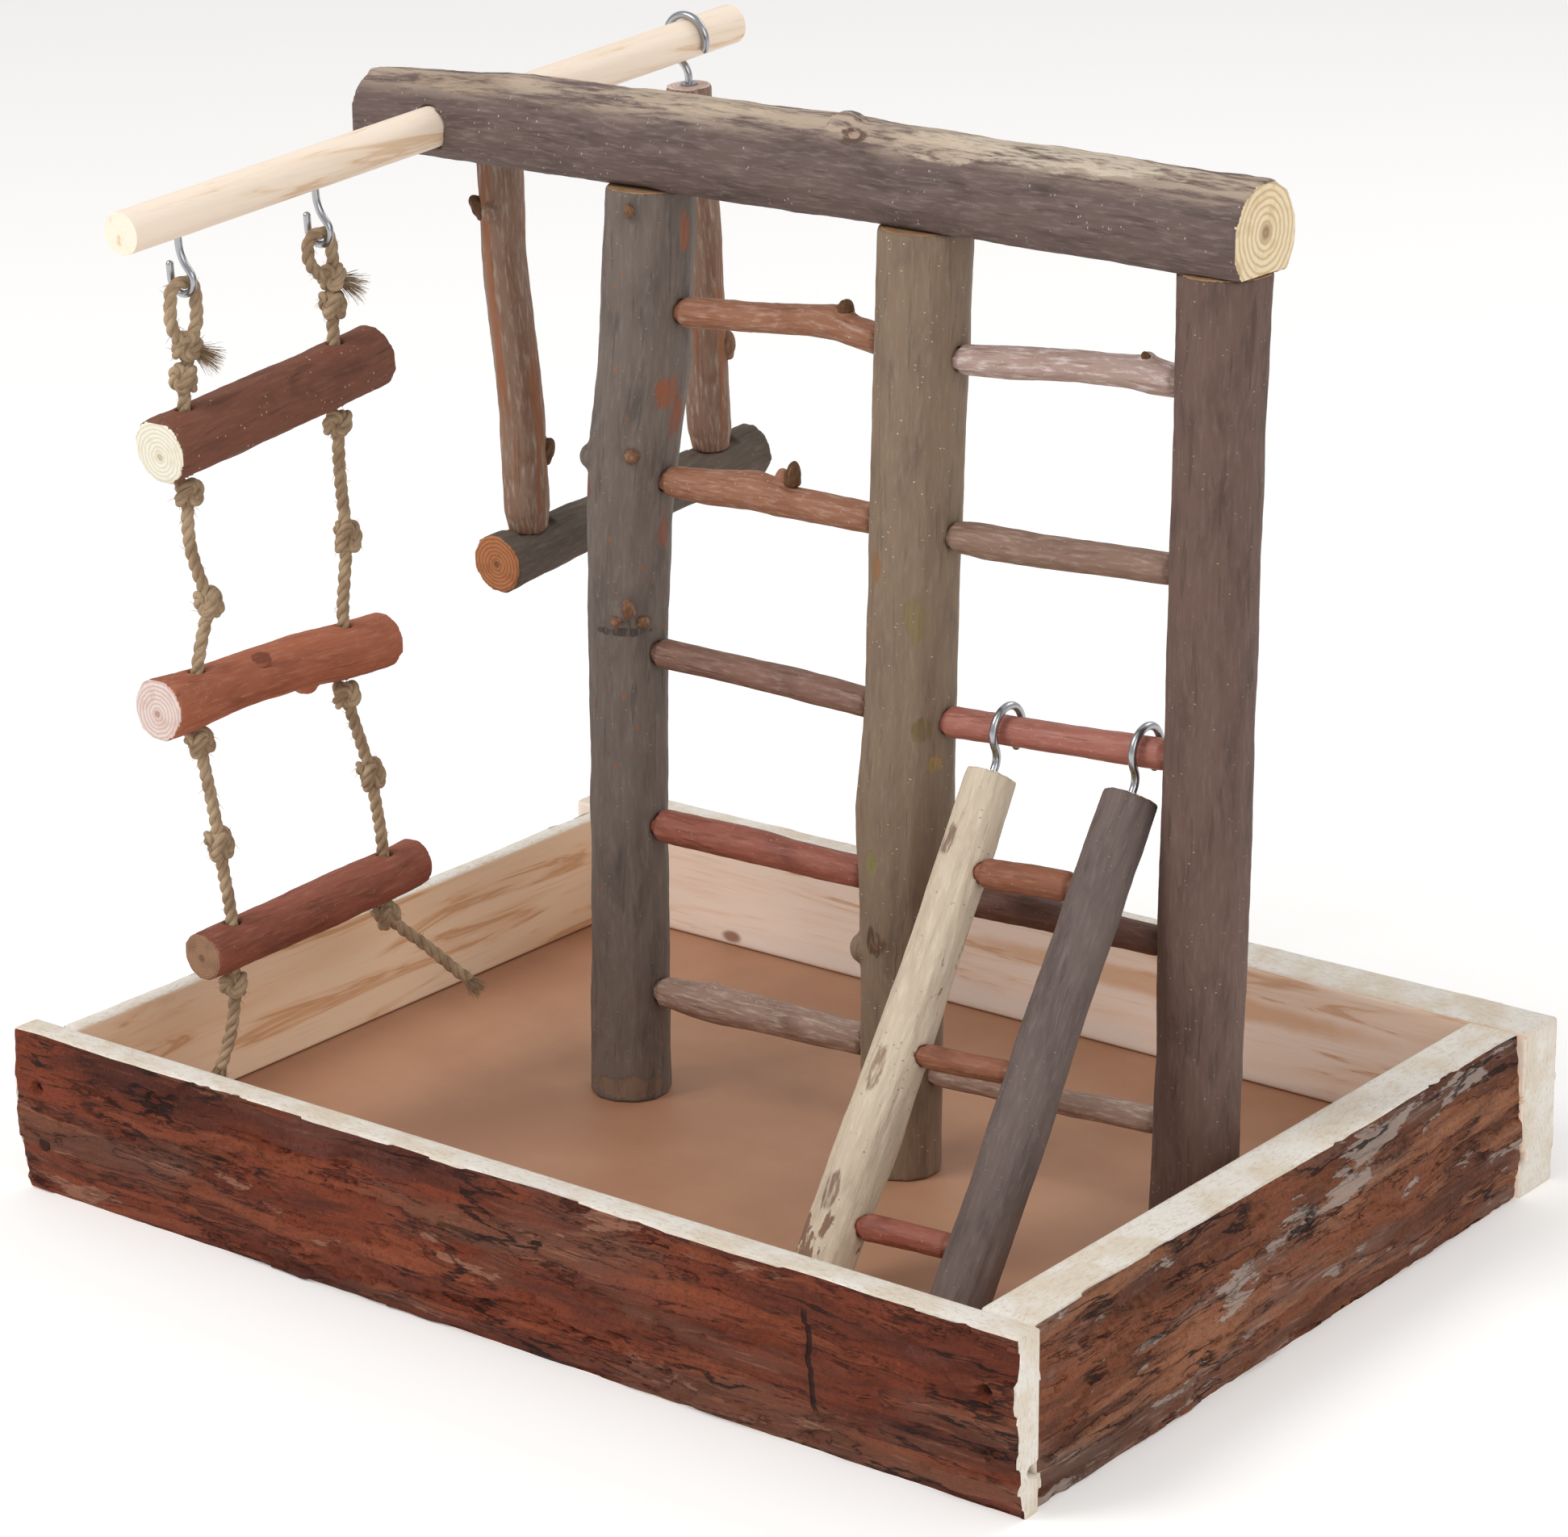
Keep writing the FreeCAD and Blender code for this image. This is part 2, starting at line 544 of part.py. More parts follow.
SCREWS = []
SCREW_HOLES = {}
PINS = []
PIN_HOLES = {}
for side in ("left", "middle", "right"):
    foot, reach = post_at(side, FLOOR_Z)
    seat = Placement(Vector(foot.x, foot.y, SCREW_SEAT), Rotation())
    SCREWS.append(screw("post_screw", seat, "Sizes.post_screw_length", "0"))
    SCREW_HOLES[side] = screw("post_screw_hole", seat, "Sizes.post_screw_length",
                              "Sizes.fastener_play")
    top, reach = post_at(side, TOP_Z)
    seat = Placement(top, Rotation())
    PINS.append(peg("pin", "Sizes.pin_diameter", "Sizes.pin_length", seat, "0"))
    PIN_HOLES[side] = peg("pin_hole", "Sizes.pin_diameter", "Sizes.pin_length", seat,
                          "Sizes.fastener_play")
node(gather("screws", SCREWS), "post_screws")
node(gather("pins", PINS), "beam_pins")
node(cut("floor", hardboard, list(SCREW_HOLES.values())), "floor_panel")

for side in ("left", "middle", "right"):
    branch = stick(side + "_branch", POST_LENGTH, "Sizes.%s_post_girth" % side, POST_SHAPES[side])
    bind_base(branch, "Sizes.%s_post_at" % side, "Sizes.frame_depth", "Sizes.floor_top")
    pieces = [branch]
    for height, direction, long, wide in POST_KNOTS[side]:
        middle, reach = post_at(side, height)
        outward = Vector(direction).normalize()
        pieces.append(bud(side + "_knot", middle + outward * reach, long, wide, outward))
    wood = branch if len(pieces) == 1 else fuse(side + "_grown", pieces)
    tools = SOCKETS[side] + [SCREW_HOLES[side], PIN_HOLES[side]]
    node(cut(side + "_post_cut", wood, tools), side + "_post")

# ---------------------------------------------------------------- dowel and beam

DOWEL_RISE = size("dowel_rise")
DOWEL_MIDDLE = Vector(size("dowel_at"), 0, size("dowel_height"))
DOWEL_WAY = Vector(0, math.cos(math.radians(DOWEL_RISE)), math.sin(math.radians(DOWEL_RISE)))
DOWEL_DOWN = Vector(0, DOWEL_WAY.z, -DOWEL_WAY.y)
# a stick that lies along the dowel: its own Z runs to the back and its own Y points down
DOWEL_TURN = Rotation(LEFTWARD, 90 - DOWEL_RISE)
# an upright that hangs from the dowel: its own Z points up and its own Y to the back
HANGING = Rotation(RIGHTWARD, DOWEL_RISE)


def from_dowel(way, down):
    """A point a way along the dowel and a distance below its middle."""
    return DOWEL_MIDDLE + DOWEL_WAY * way + DOWEL_DOWN * down


def round_bar(name, radius, length, place):
    bar = doc.addObject("Part::Cylinder", name)
    bind(bar, Radius=radius, Height=length)
    bar.Placement = place
    return bar


dowel_place = Placement(from_dowel(-size("dowel_length") / 2, 0), DOWEL_TURN)
dowel = round_bar("dowel", "Sizes.dowel_diameter / 2", "Sizes.dowel_length", dowel_place)
dowel_hole = round_bar("dowel_hole", "Sizes.dowel_diameter / 2 + Sizes.dowel_play",
                       "Sizes.dowel_length", dowel_place)

# share of the length, drop, bend to the back, share of the girth
BEAM_SHAPE = ((0, 0.4, 0, 0.925), (0.17, -2.0, 0, 1.0), (0.40, -2.6, 0, 1.035),
              (0.57, -2.2, 0, 1.06), (0.74, -1.4, 0, 1.05), (1, 0.4, 0, 1.095))
beam_branch = stick("beam_branch", "Sizes.beam_length", "Sizes.beam_girth", BEAM_SHAPE)
beam_branch.Placement = Placement(ORIGIN, Rotation(REARWARD, 90))
bind_base(beam_branch, "Sizes.beam_start", "Sizes.frame_depth", "Sizes.beam_height")
knot_share = 0.57
drop, bend, thick = along(BEAM_SHAPE, knot_share)
beam_knot = bud("beam_knot",
                Vector(size("beam_start") + knot_share * size("beam_length"), FRAME_Y - 4.0,
                       size("beam_height") - drop + size("beam_girth") / 2 * thick * 0.9),
                7.0, 12.0, Vector(0, -0.3, 1))
planed = box("planed", "Sizes.beam_length + 2", "Sizes.beam_girth * 2", "Sizes.beam_girth",
             "Sizes.beam_start - 1", "Sizes.frame_depth - Sizes.beam_girth",
             "Sizes.frame_top - Sizes.beam_girth")
node(cut("beam", fuse("beam_grown", [beam_branch, beam_knot]),
         [planed, dowel_hole] + list(PIN_HOLES.values())), "top_beam")

# ---------------------------------------------------------------- hooks


def hook(name, wire, bend, bend_size, from_angle, to_angle, entry, depth, place, collar, tip):
    """A bent wire hook with its bend's middle at the origin and its shank down the -Z axis.

    The wire runs up the shank, bends back through the neck, and goes over the middle from
    from_angle down to to_angle. entry is how far below the middle the wood starts.
    """
    turn = from_angle - 180
    neck_size = bend_size * -math.cos(math.radians(from_angle)) / (1 - math.cos(math.radians(turn)))
    share = neck_size / bend_size
    sag = bend_size * math.sin(math.radians(from_angle)) - neck_size * math.sin(math.radians(turn))
    upright = Rotation(RIGHTWARD, 90)
    arc = doc.addObject("Part::Torus", name + "_bend")
    bind(arc, Radius1=bend, Radius2="Sizes.%s / 2" % wire)
    arc.Angle3 = from_angle - to_angle
    arc.Placement = Placement(ORIGIN, upright * Rotation(UPWARD, to_angle))
    neck = doc.addObject("Part::Torus", name + "_neck")
    bind(neck, Radius1="(%s) * %.6f" % (bend, share), Radius2="Sizes.%s / 2" % wire)
    neck.Angle3 = turn
    neck.Placement = Placement(Vector(-neck_size, 0, sag), upright)
    shank = round_bar(name + "_shank", "Sizes.%s / 2" % wire,
                      "%.4f + Sizes.%s" % (entry + sag, depth),
                      Placement(Vector(0, 0, sag), Rotation(RIGHTWARD, 180)))
    pieces = [arc, neck, shank]
    reach = math.radians(to_angle)
    end = Vector(bend_size * math.cos(reach), 0, bend_size * math.sin(reach))
    way = Vector(math.sin(reach), 0, -math.cos(reach))
    if collar:
        pieces.append(round_bar(name + "_collar", "Sizes.collar_diameter / 2",
                                "Sizes.collar_height", Placement(Vector(0, 0, -entry), Rotation())))
    if tip:
        pieces.append(round_bar(name + "_tip", "Sizes.%s / 2" % wire, "Sizes." + tip,
                                Placement(end, Rotation(UPWARD, way))))
        end = end + way * size(tip)
    ball = doc.addObject("Part::Sphere", name + "_end")
    ball.setExpression("Radius", "Sizes.%s / 2" % wire)
    ball.Placement = Placement(end, Rotation())
    pieces.append(ball)
    whole = fuse(name, pieces)
    whole.Placement = place
    hole = round_bar(name + "_hole", "Sizes.%s / 2 + Sizes.fastener_play" % wire,
                     "Sizes.%s + Sizes.fastener_play" % depth,
                     place * Placement(Vector(0, 0, -entry), Rotation(RIGHTWARD, 180)))
    return whole, hole


# cup hooks screwed up into the dowel, for the rope ladder
ROPE_HOOK_DOWN = size("dowel_diameter") / 2 + size("rope_hook_drop")
rope_hook_holes = []
for where in ("front", "back"):
    way = size("rope_hook_" + where)
    place = Placement(from_dowel(way, ROPE_HOOK_DOWN),
                      Rotation(LEFTWARD, DOWEL_WAY, DOWEL_DOWN, "ZXY"))
    whole, hole = hook("rope_hook_" + where, "rope_hook_wire", "Sizes.rope_hook_bend",
                       size("rope_hook_bend"), 225, 0, size("rope_hook_drop"),
                       "rope_hook_depth", place, False, "rope_hook_tip")
    node(whole, "rope_hook_" + where)
    rope_hook_holes.append(hole)
node(cut("dowel_drilled", dowel, rope_hook_holes), "cross_dowel")

# ---------------------------------------------------------------- swing

ARM_BOTTOM = size("perch_drop") - size("perch_girth") / 2 + size("perch_flat")
ARM_LENGTH = "Sizes.perch_drop - Sizes.perch_girth / 2 + Sizes.perch_flat - Sizes.arm_top"
SWING_BEND = "Sizes.dowel_diameter / 2 + Sizes.hook_play + Sizes.wire / 2"
SWING_BEND_SIZE = size("dowel_diameter") / 2 + size("hook_play") + size("wire") / 2
# share of the height, bend along the tray, bend to the back, share of the girth
ARM_SHAPES = {
    "front": ((0, 0, 0, 0.84), (0.06, 0, 0, 1.02), (0.3, 0, 1.2, 1.0), (0.45, 0, 0.3, 0.98),
              (0.75, 0, -1.8, 0.97), (1, 0, 0, 1.01)),
    "rear": ((0, 0, 0, 0.84), (0.06, 0, 0, 1.02), (0.25, 0, 0, 1.0), (0.6, 0.4, 0.5, 0.97),
             (1, 0, 0, 1.01)),
}
ARM_BUDS = {
    "front": ((0.86, Vector(0.2, -1, 0.4), 8.0, 6.0), (0.22, Vector(0, 1, 0.3), 7.0, 6.0)),
    "rear": ((0.32, Vector(0, 1, 0.4), 8.0, 6.0),),
}
ARM_WAYS = {"front": size("swing_front"), "rear": size("swing_front") + size("swing_spacing")}
PERCH_SCREW_DOWN = size("perch_drop") + size("perch_screw_seat")

perch_tools = []
perch_screws = []
for where in ("front", "rear"):
    way = ARM_WAYS[where]
    shape = ARM_SHAPES[where]
    place = Placement(from_dowel(way, ARM_BOTTOM), HANGING)
    branch = stick(where + "_arm_branch", ARM_LENGTH, "Sizes.arm_girth", shape)
    pieces = [branch]
    for share, direction, long, wide in ARM_BUDS[where]:
        bend_x, bend_y, thick = along(shape, share)
        outward = Vector(direction).normalize()
        spot = Vector(bend_x, bend_y, share * (ARM_BOTTOM - size("arm_top")))
        spot = spot + Vector(outward.x, outward.y, 0) * (size("arm_girth") / 2 * thick)
        pieces.append(bud(where + "_arm_bud", spot, long, wide, outward))
    arm = fuse(where + "_arm_grown", pieces)
    arm.Placement = place
    whole, hook_hole = hook("swing_hook_" + where, "wire", SWING_BEND, SWING_BEND_SIZE, 245, -20,
                            size("arm_top"), "shank_depth", Placement(from_dowel(way, 0), HANGING),
                            True, "")
    node(whole, "swing_hook_" + where)
    seat = Placement(from_dowel(way, PERCH_SCREW_DOWN), HANGING)
    perch_screws.append(screw("perch_screw", seat, "Sizes.perch_screw_length", "0"))
    screw_hole = screw("perch_screw_hole", seat, "Sizes.perch_screw_length",
                       "Sizes.fastener_play")
    head_room = round_bar("perch_head_room", "Sizes.screw_head / 2 + Sizes.fastener_play",
                          "Sizes.perch_girth / 2",
                          seat * Placement(ORIGIN, Rotation(RIGHTWARD, 180)))
    node(cut(where + "_arm", arm, [hook_hole, screw_hole]), "swing_arm_" + where)
    flat = box(where + "_flat", "2 * Sizes.perch_girth", "Sizes.arm_girth + 3",
               "Sizes.perch_girth", "0", "0", "0")
    flat.Placement = place * Placement(Vector(-size("perch_girth"),
                                              -size("arm_girth") / 2 - 1.5, 0), Rotation())
    for axis in ("x", "y", "z"):
        flat.setExpression("Placement.Base." + axis, None)
    perch_tools += [flat, screw_hole, head_room]
node(gather("perch_fasteners", perch_screws), "swing_screws")

# share of the length, bend along the tray, drop, share of the girth
PERCH_SHAPE = ((0, 0, 0, 1.10), (0.12, 0, 0, 1.03), (0.35, 0, 0, 0.93), (0.70, 0, 0, 0.98),
               (1, 0, 0, 1.06))
perch = stick("perch_branch", "Sizes.perch_length", "Sizes.perch_girth", PERCH_SHAPE)
perch.Placement = Placement(from_dowel(size("perch_start"), size("perch_drop")), DOWEL_TURN)
node(cut("perch", perch, perch_tools), "swing_perch")

# ---------------------------------------------------------------- rope ladder

ROPE_X = size("dowel_at")
ROPE_RADIUS = size("rope_diameter") / 2
# front end of each rung: to the back and up; then its climb to the back in degrees
ROPE_RUNGS = {
    1: (-130.9, 244.5, 6.68, ((0, 0, 0, 1.0), (0.3, 0, 0.2, 1.01), (0.7, 0, 0.3, 0.99),
                              (1, 0, 0, 1.0)), ()),
    2: (-136.7, 166.6, -1.32, ((0, 0, 0, 1.09), (0.15, 0, 0, 1.0), (0.35, 0, -1.2, 0.93),
                               (0.6, 0, -1.7, 0.95), (0.8, 0, -0.3, 1.0), (1, 0, 0, 1.0)),
        ((0.64, 6.6, 6.0, 8.0),)),
    3: (-123.0, 84.1, 1.87, ((0, 0, 0, 0.97), (0.4, 0, 0.3, 1.0), (0.75, 0, 0.2, 1.03),
                             (1, 0, 0, 1.0)), ()),
}
ROPE_HOLES = {1: (-119.9, -54.0), 2: (-119.8, -54.8), 3: (-109.3, -39.8)}
KNOT_AT = {}
for number, (front_y, front_z, climb, shape, bumps) in ROPE_RUNGS.items():
    name = "rope_rung_%d" % number
    slope = math.tan(math.radians(climb))
    length = size(name + "_length")
    branch = stick(name + "_branch", "Sizes.%s_length" % name, "Sizes.%s_girth" % name, shape)
    branch.Placement = Placement(Vector(ROPE_X, front_y, front_z), Rotation(LEFTWARD, 90 - climb))
    wood = branch
    if bumps:
        eggs = []
        for share, below, long, wide in bumps:
            spot = branch.Placement * Placement(Vector(0, below, share * length), Rotation())
            eggs.append(bud(name + "_bump", spot.Base, long, wide, UPWARD))
        wood = fuse(name + "_grown", [branch] + eggs)
    holes = []
    for end, hole_y in zip(("front", "back"), ROPE_HOLES[number]):
        share = (hole_y - front_y) / (length * math.cos(math.radians(climb)))
        bend_x, drop, thick = along(shape, share)
        middle_z = front_z + (hole_y - front_y) * slope - drop
        half = size(name + "_girth") / 2 * thick * TO_CORNER
        half = half / math.cos(math.radians(climb)) + size("rope_hole") / 2 * abs(slope)
        KNOT_AT[(end, number)] = Vector(ROPE_X, hole_y,
                                        middle_z - half - size("knot_gap") - size("knot_radius"))
        holes.append(round_bar(name + "_hole", "Sizes.rope_hole / 2", "2 * Sizes.%s_girth" % name,
                               Placement(Vector(ROPE_X, hole_y, middle_z - size(name + "_girth")),
                                         Rotation())))
    node(cut(name + "_drilled", wood, holes), name)


def path(points):
    """Straight runs joined by arcs that touch them, as large as the runs allow."""
    edges = []
    radii = []
    at = points[0]
    for before, here, after in zip(points, points[1:], points[2:]):
        into = (here - before).normalize()
        out = (after - here).normalize()
        turn = into.getAngle(out)
        reach = 0.45 * min((here - before).Length, (after - here).Length)
        radius = reach / math.tan(turn / 2)
        radii.append(radius)
        first = here - into * reach
        last = here + out * reach
        corner = (out - into).normalize()
        middle = here + corner * (math.hypot(reach, radius) - radius)
        edges.append(Part.LineSegment(at, first).toShape())
        edges.append(Part.Arc(first, middle, last).toShape())
        at = last
    edges.append(Part.LineSegment(at, points[-1]).toShape())
    return Part.Wire(edges), radii


def rope_stretch(name, points):
    """A round rope along a route, checked against its section and its length."""
    line, radii = path(points)
    start = (points[1] - points[0]).normalize()
    ring = Part.Wire([Part.Circle(points[0], start, ROPE_RADIUS).toShape()])
    tube = line.makePipeShell([ring], True, False)
    expected = math.pi * ROPE_RADIUS ** 2 * line.Length
    print("%s: length %.1f, smallest radius %.1f, volume %.4f of section times length"
          % (name, line.Length, min(radii), tube.Volume / expected))
    return tube


def knot(centre, stretch):
    """A pulled knot as an egg round the rope."""
    egg = Part.makeSphere(size("knot_radius"))
    squash = FreeCAD.Matrix()
    squash.scale(1.0, 1.0, stretch)
    egg = egg.transformGeometry(squash)
    egg.translate(centre)
    return egg


def rope(name, stretches, knots):
    """A rope of one or more stretches with its knots, as one solid."""
    shape = rope_stretch(name, stretches[0])
    others = [rope_stretch(name, points) for points in stretches[1:]]
    others += [knot(centre, stretch) for centre, stretch in knots]
    if others:
        shape = shape.multiFuse(others)
    thing = doc.addObject("Part::Feature", name)
    thing.Shape = shape
    thing.Placement = Placement()
    return node(thing, name)


def route(rows):
    """Points of a rope from rows of (across from the dowel, to the back, up)."""
    return [Vector(ROPE_X + across, back, up) for across, back, up in rows]


def hole_end(end, number):
    """Where a rope leaves the hole of a rung, just above the knot under it."""
    return KNOT_AT[(end, number)] + Vector(0, 0, size("knot_radius") + size("knot_gap"))


def off_dowel(point, across=0.0):
    """A point as a row of a route: across from the dowel, to the back, up."""
    return (point.x - ROPE_X + across, point.y, point.z)


def bight(hook_name, knot_y, knot_z, rise, lean):
    """The loop of a top rope over its cup hook, from its knot back to its knot.

    rise and lean shape the side that goes up, and the far side comes down to the knot.
    """
    middle = from_dowel(size(hook_name), ROPE_HOOK_DOWN)
    wire_top = middle.z - size("rope_hook_bend") + size("rope_hook_wire") / 2
    top = wire_top + ROPE_RADIUS + size("knot_gap")
    near = middle.y + 4.75
    far = middle.y - 4.75
    return ((-0.3, near + lean, top - rise), (0, near + 0.6, top - 6.8), (0, near, top),
            (0, far, top), (0, far - 0.8, top - 6.8)), (knot_y, knot_z)


loop, knot_spot = bight("rope_hook_front", -117.0, 273.2, 13.4, 0.9)
front_knots = ((0, -118.6, 265.0), (0, knot_spot[0], knot_spot[1]))
rope("rope_front_1",
     (route((off_dowel(hole_end("front", 1)), (-0.2, -119.7, 246.0), (0, -119.9, 256.0),
             (0.1, -118.6, 265.0), (0, -116.6, 273.2)) + loop
            + ((0, -123.7, 280.0), (0, -120.2, 275.4))),
      route(((0, -117.0, 273.2), (3.5, -114.5, 272.0), (6.6, -111.5, 270.4)))),
     [(spot, 0.86) for spot in route(front_knots)])

loop, knot_spot = bight("rope_hook_back", -53.4, 282.7, 7.0, 1.6)
back_knots = ((0, -54.4, 275.2), (0, knot_spot[0], knot_spot[1]))
rope("rope_back_1",
     (route((off_dowel(hole_end("back", 1)), (0.2, -53.8, 249.0), (0, -54.2, 258.5),
             (-0.2, -54.5, 267.5), (0, -54.4, 275.4), (0, -53.4, 282.9)) + loop[1:]
            + ((0, -61.8, 286.0), (0, -57.6, 283.6))),
      route(((0, -53.4, 282.7), (2.2, -50.4, 281.8), (5.5, -47.6, 280.0)))),
     [(spot, 0.86) for spot in route(back_knots)])

rope("rope_front_2",
     (route((off_dowel(KNOT_AT[("front", 1)]), (-0.8, -120.4, 217.0), (0.4, -117.5, 204.0),
             (1.0, -113.6, 194.8), (0, -116.8, 184.0), (0.1, -119.8, 174.0),
             (-0.25, -119.6, 165.4), off_dowel(hole_end("front", 2)))),),
     [(KNOT_AT[("front", 1)], 1.0), (route(((1.0, -113.6, 194.8),))[0], 0.95)])

rope("rope_back_2",
     (route((off_dowel(KNOT_AT[("back", 1)]), (0.4, -54.6, 225.0), (-0.4, -52.6, 212.0),
             (0, -51.6, 201.0), (0.2, -53.4, 190.0), (0, -54.8, 179.0),
             (-0.2, -54.6, 167.4), off_dowel(hole_end("back", 2)))),),
     [(KNOT_AT[("back", 1)], 1.0), (route(((0, -51.6, 201.0),))[0], 0.95)])

rope("rope_front_3",
     (route((off_dowel(KNOT_AT[("front", 2)]), (-0.4, -117.2, 141.0), (0.3, -115.2, 129.0),
             (0, -113.2, 118.0), (-0.3, -111.6, 107.0), (0, -109.6, 96.0), (0.2, -109.4, 87.0),
             (0, -109.3, 79.0), off_dowel(KNOT_AT[("front", 3)]), (0.1, -109.9, 64.5),
             (0, -111.2, 57.4), (-0.2, -113.9, 51.0), (0, -117.3, 45.6))),),
     [(KNOT_AT[("front", 2)], 1.0), (route(((0, -113.2, 118.0),))[0], 0.95),
      (KNOT_AT[("front", 3)], 1.0)])

rope("rope_back_3",
     (route((off_dowel(KNOT_AT[("back", 2)]), (0.2, -51.8, 141.5), (-0.2, -47.8, 132.0),
             (0, -44.6, 122.0), (0.2, -43.0, 112.0), (0, -40.8, 102.0), (-0.2, -39.8, 92.5),
             (0.1, -40.0, 82.8), off_dowel(KNOT_AT[("back", 3)], 0.1), (2.6, -34.6, 67.3),
             (7.6, -29.2, 61.5), (13.2, -25.2, 55.0), (18.6, -21.2, 49.5))),),
     [(KNOT_AT[("back", 2)], 1.0), (route(((0, -44.6, 122.0),))[0], 0.95),
      (KNOT_AT[("back", 3)], 1.0)])

# ---------------------------------------------------------------- leaning ladder

LEAN = math.radians(size("ladder_lean"))
RAIL_UP = Vector(0, math.sin(LEAN), math.cos(LEAN))
RAIL_BACK = Vector(0, math.cos(LEAN), -math.sin(LEAN))
LEANING = Rotation(RIGHTWARD, -size("ladder_lean"))
# share of the length from the foot, bend along the tray, bend to the back, share of the girth
RAIL_SHAPES = {
    "left": ((0, 0, 0, 1.0), (0.25, 0.6, 0, 1.03), (0.5, 1.0, 0.4, 0.96), (0.8, 0.3, 0.2, 0.90),
             (1, 0, 0, 0.88)),
    "right": ((0, 0, 0, 1.0), (0.3, 0.4, 0.3, 1.0), (0.6, -0.3, 0, 0.98), (0.9, 0, 0, 0.96),
              (1, 0, 0, 0.94)),
}


def hang_point(across):
    """Where a rail's line meets the middle of the rung that the ladder hangs on."""
    start, end = RUNG_LINES["right_rung_3"]
    share = (across - start.x) / (end.x - start.x)
    return start + (end - start) * share


RAILS = {}
for side in ("left", "right"):
    hang = hang_point(size("ladder_%s_at" % side))
    foot_reach = size(side + "_rail_girth") / 2 * TO_FLAT
    foot_down = hang.z - size("floor_top") - size("foot_gap") - foot_reach * math.sin(LEAN)
    RAILS[side] = (hang, foot_down / math.cos(LEAN))


def rail_at(side, down):
    """Middle of a rail a way below its hook, and how far out its flat sides are there."""
    hang, foot = RAILS[side]
    share = (foot - down) / (foot - size("rail_top"))
    bend_x, bend_y, thick = along(RAIL_SHAPES[side], share)
    middle = hang - RAIL_UP * down + RIGHTWARD * bend_x + RAIL_BACK * bend_y
    return middle, size(side + "_rail_girth") / 2 * thick * TO_FLAT


# share of the length, drop, bend to the back, share of the girth
LADDER_RUNG_SHAPES = {
    "1": ((0, 0, 0, 1.05), (0.5, -0.2, 0, 1.12), (1, 0, 0, 1.07)),
    "2": ((0, 0, 0, 0.88), (0.4, 0.2, 0, 0.84), (1, 0, 0, 0.86)),
    "3": ((0, 0, 0, 0.98), (0.6, -0.2, 0, 0.94), (1, 0, 0, 0.96)),
}
RAIL_SOCKETS = {"left": [], "right": []}
for row, shape in LADDER_RUNG_SHAPES.items():
    down = size("ladder_rung_" + row)
    start, reach_start = rail_at("left", down)
    end, reach_end = rail_at("right", down)
    whole, sockets = rung("ladder_rung_%s_whole" % row, "Sizes.ladder_rung_girth", "ladder_tenon",
                          start, end, reach_start, reach_end, shape)
    node(whole, "ladder_rung_" + row)
    RAIL_SOCKETS["left"].append(sockets[0])
    RAIL_SOCKETS["right"].append(sockets[1])

LADDER_BEND = "Sizes.right_rung_3_girth / 2 + Sizes.ladder_hook_play + Sizes.wire / 2"
LADDER_BEND_SIZE = size("right_rung_3_girth") / 2 + size("ladder_hook_play") + size("wire") / 2
for side in ("left", "right"):
    hang, foot = RAILS[side]
    whole, hook_hole = hook("ladder_hook_" + side, "wire", LADDER_BEND, LADDER_BEND_SIZE, 245, -20,
                            size("rail_top"), "shank_depth",
                            Placement(hang, Rotation(RAIL_BACK, LEFTWARD, RAIL_UP, "ZXY")),
                            True, "")
    node(whole, "ladder_hook_" + side)
    branch = stick(side + "_rail_branch", "%.4f - Sizes.rail_top" % foot,
                   "Sizes.%s_rail_girth" % side, RAIL_SHAPES[side])
    branch.Placement = Placement(hang - RAIL_UP * foot, LEANING)
    node(cut(side + "_rail", branch, RAIL_SOCKETS[side] + [hook_hole]), "ladder_rail_" + side)

# ---------------------------------------------------------------- check and export

doc.recompute()
for thing in doc.Objects:
    if "Invalid" in thing.State or "Error" in thing.State:
        raise RuntimeError("%s failed: %s" % (thing.Label, thing.State))
for thing in nodes:
    if thing.Shape.isNull() or not thing.Shape.isValid() or not thing.Shape.Solids:
        raise RuntimeError("%s has no sound solid" % thing.Label)

os.makedirs("parts", exist_ok=True)
for thing in nodes:
    thing.Shape.exportStep(os.path.join("parts", thing.Label + ".step"))

print("%d sub-parts" % len(nodes))
for key in ((("front", 1), ("back", 1)), (("front", 2), ("back", 2))):
    print("rope ladder pivot through",
          [tuple(round(value, 3) for value in KNOT_AT[end]) for end in key])
print("rope hooks at",
      [tuple(round(value, 3) for value in from_dowel(size("rope_hook_" + end), ROPE_HOOK_DOWN))
       for end in ("front", "back")])
print("ladder hangs at", [tuple(round(value, 3) for value in RAILS[side][0]) for side in RAILS])
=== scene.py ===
import math
import random

import bpy
from mathutils import Matrix, Vector, noise


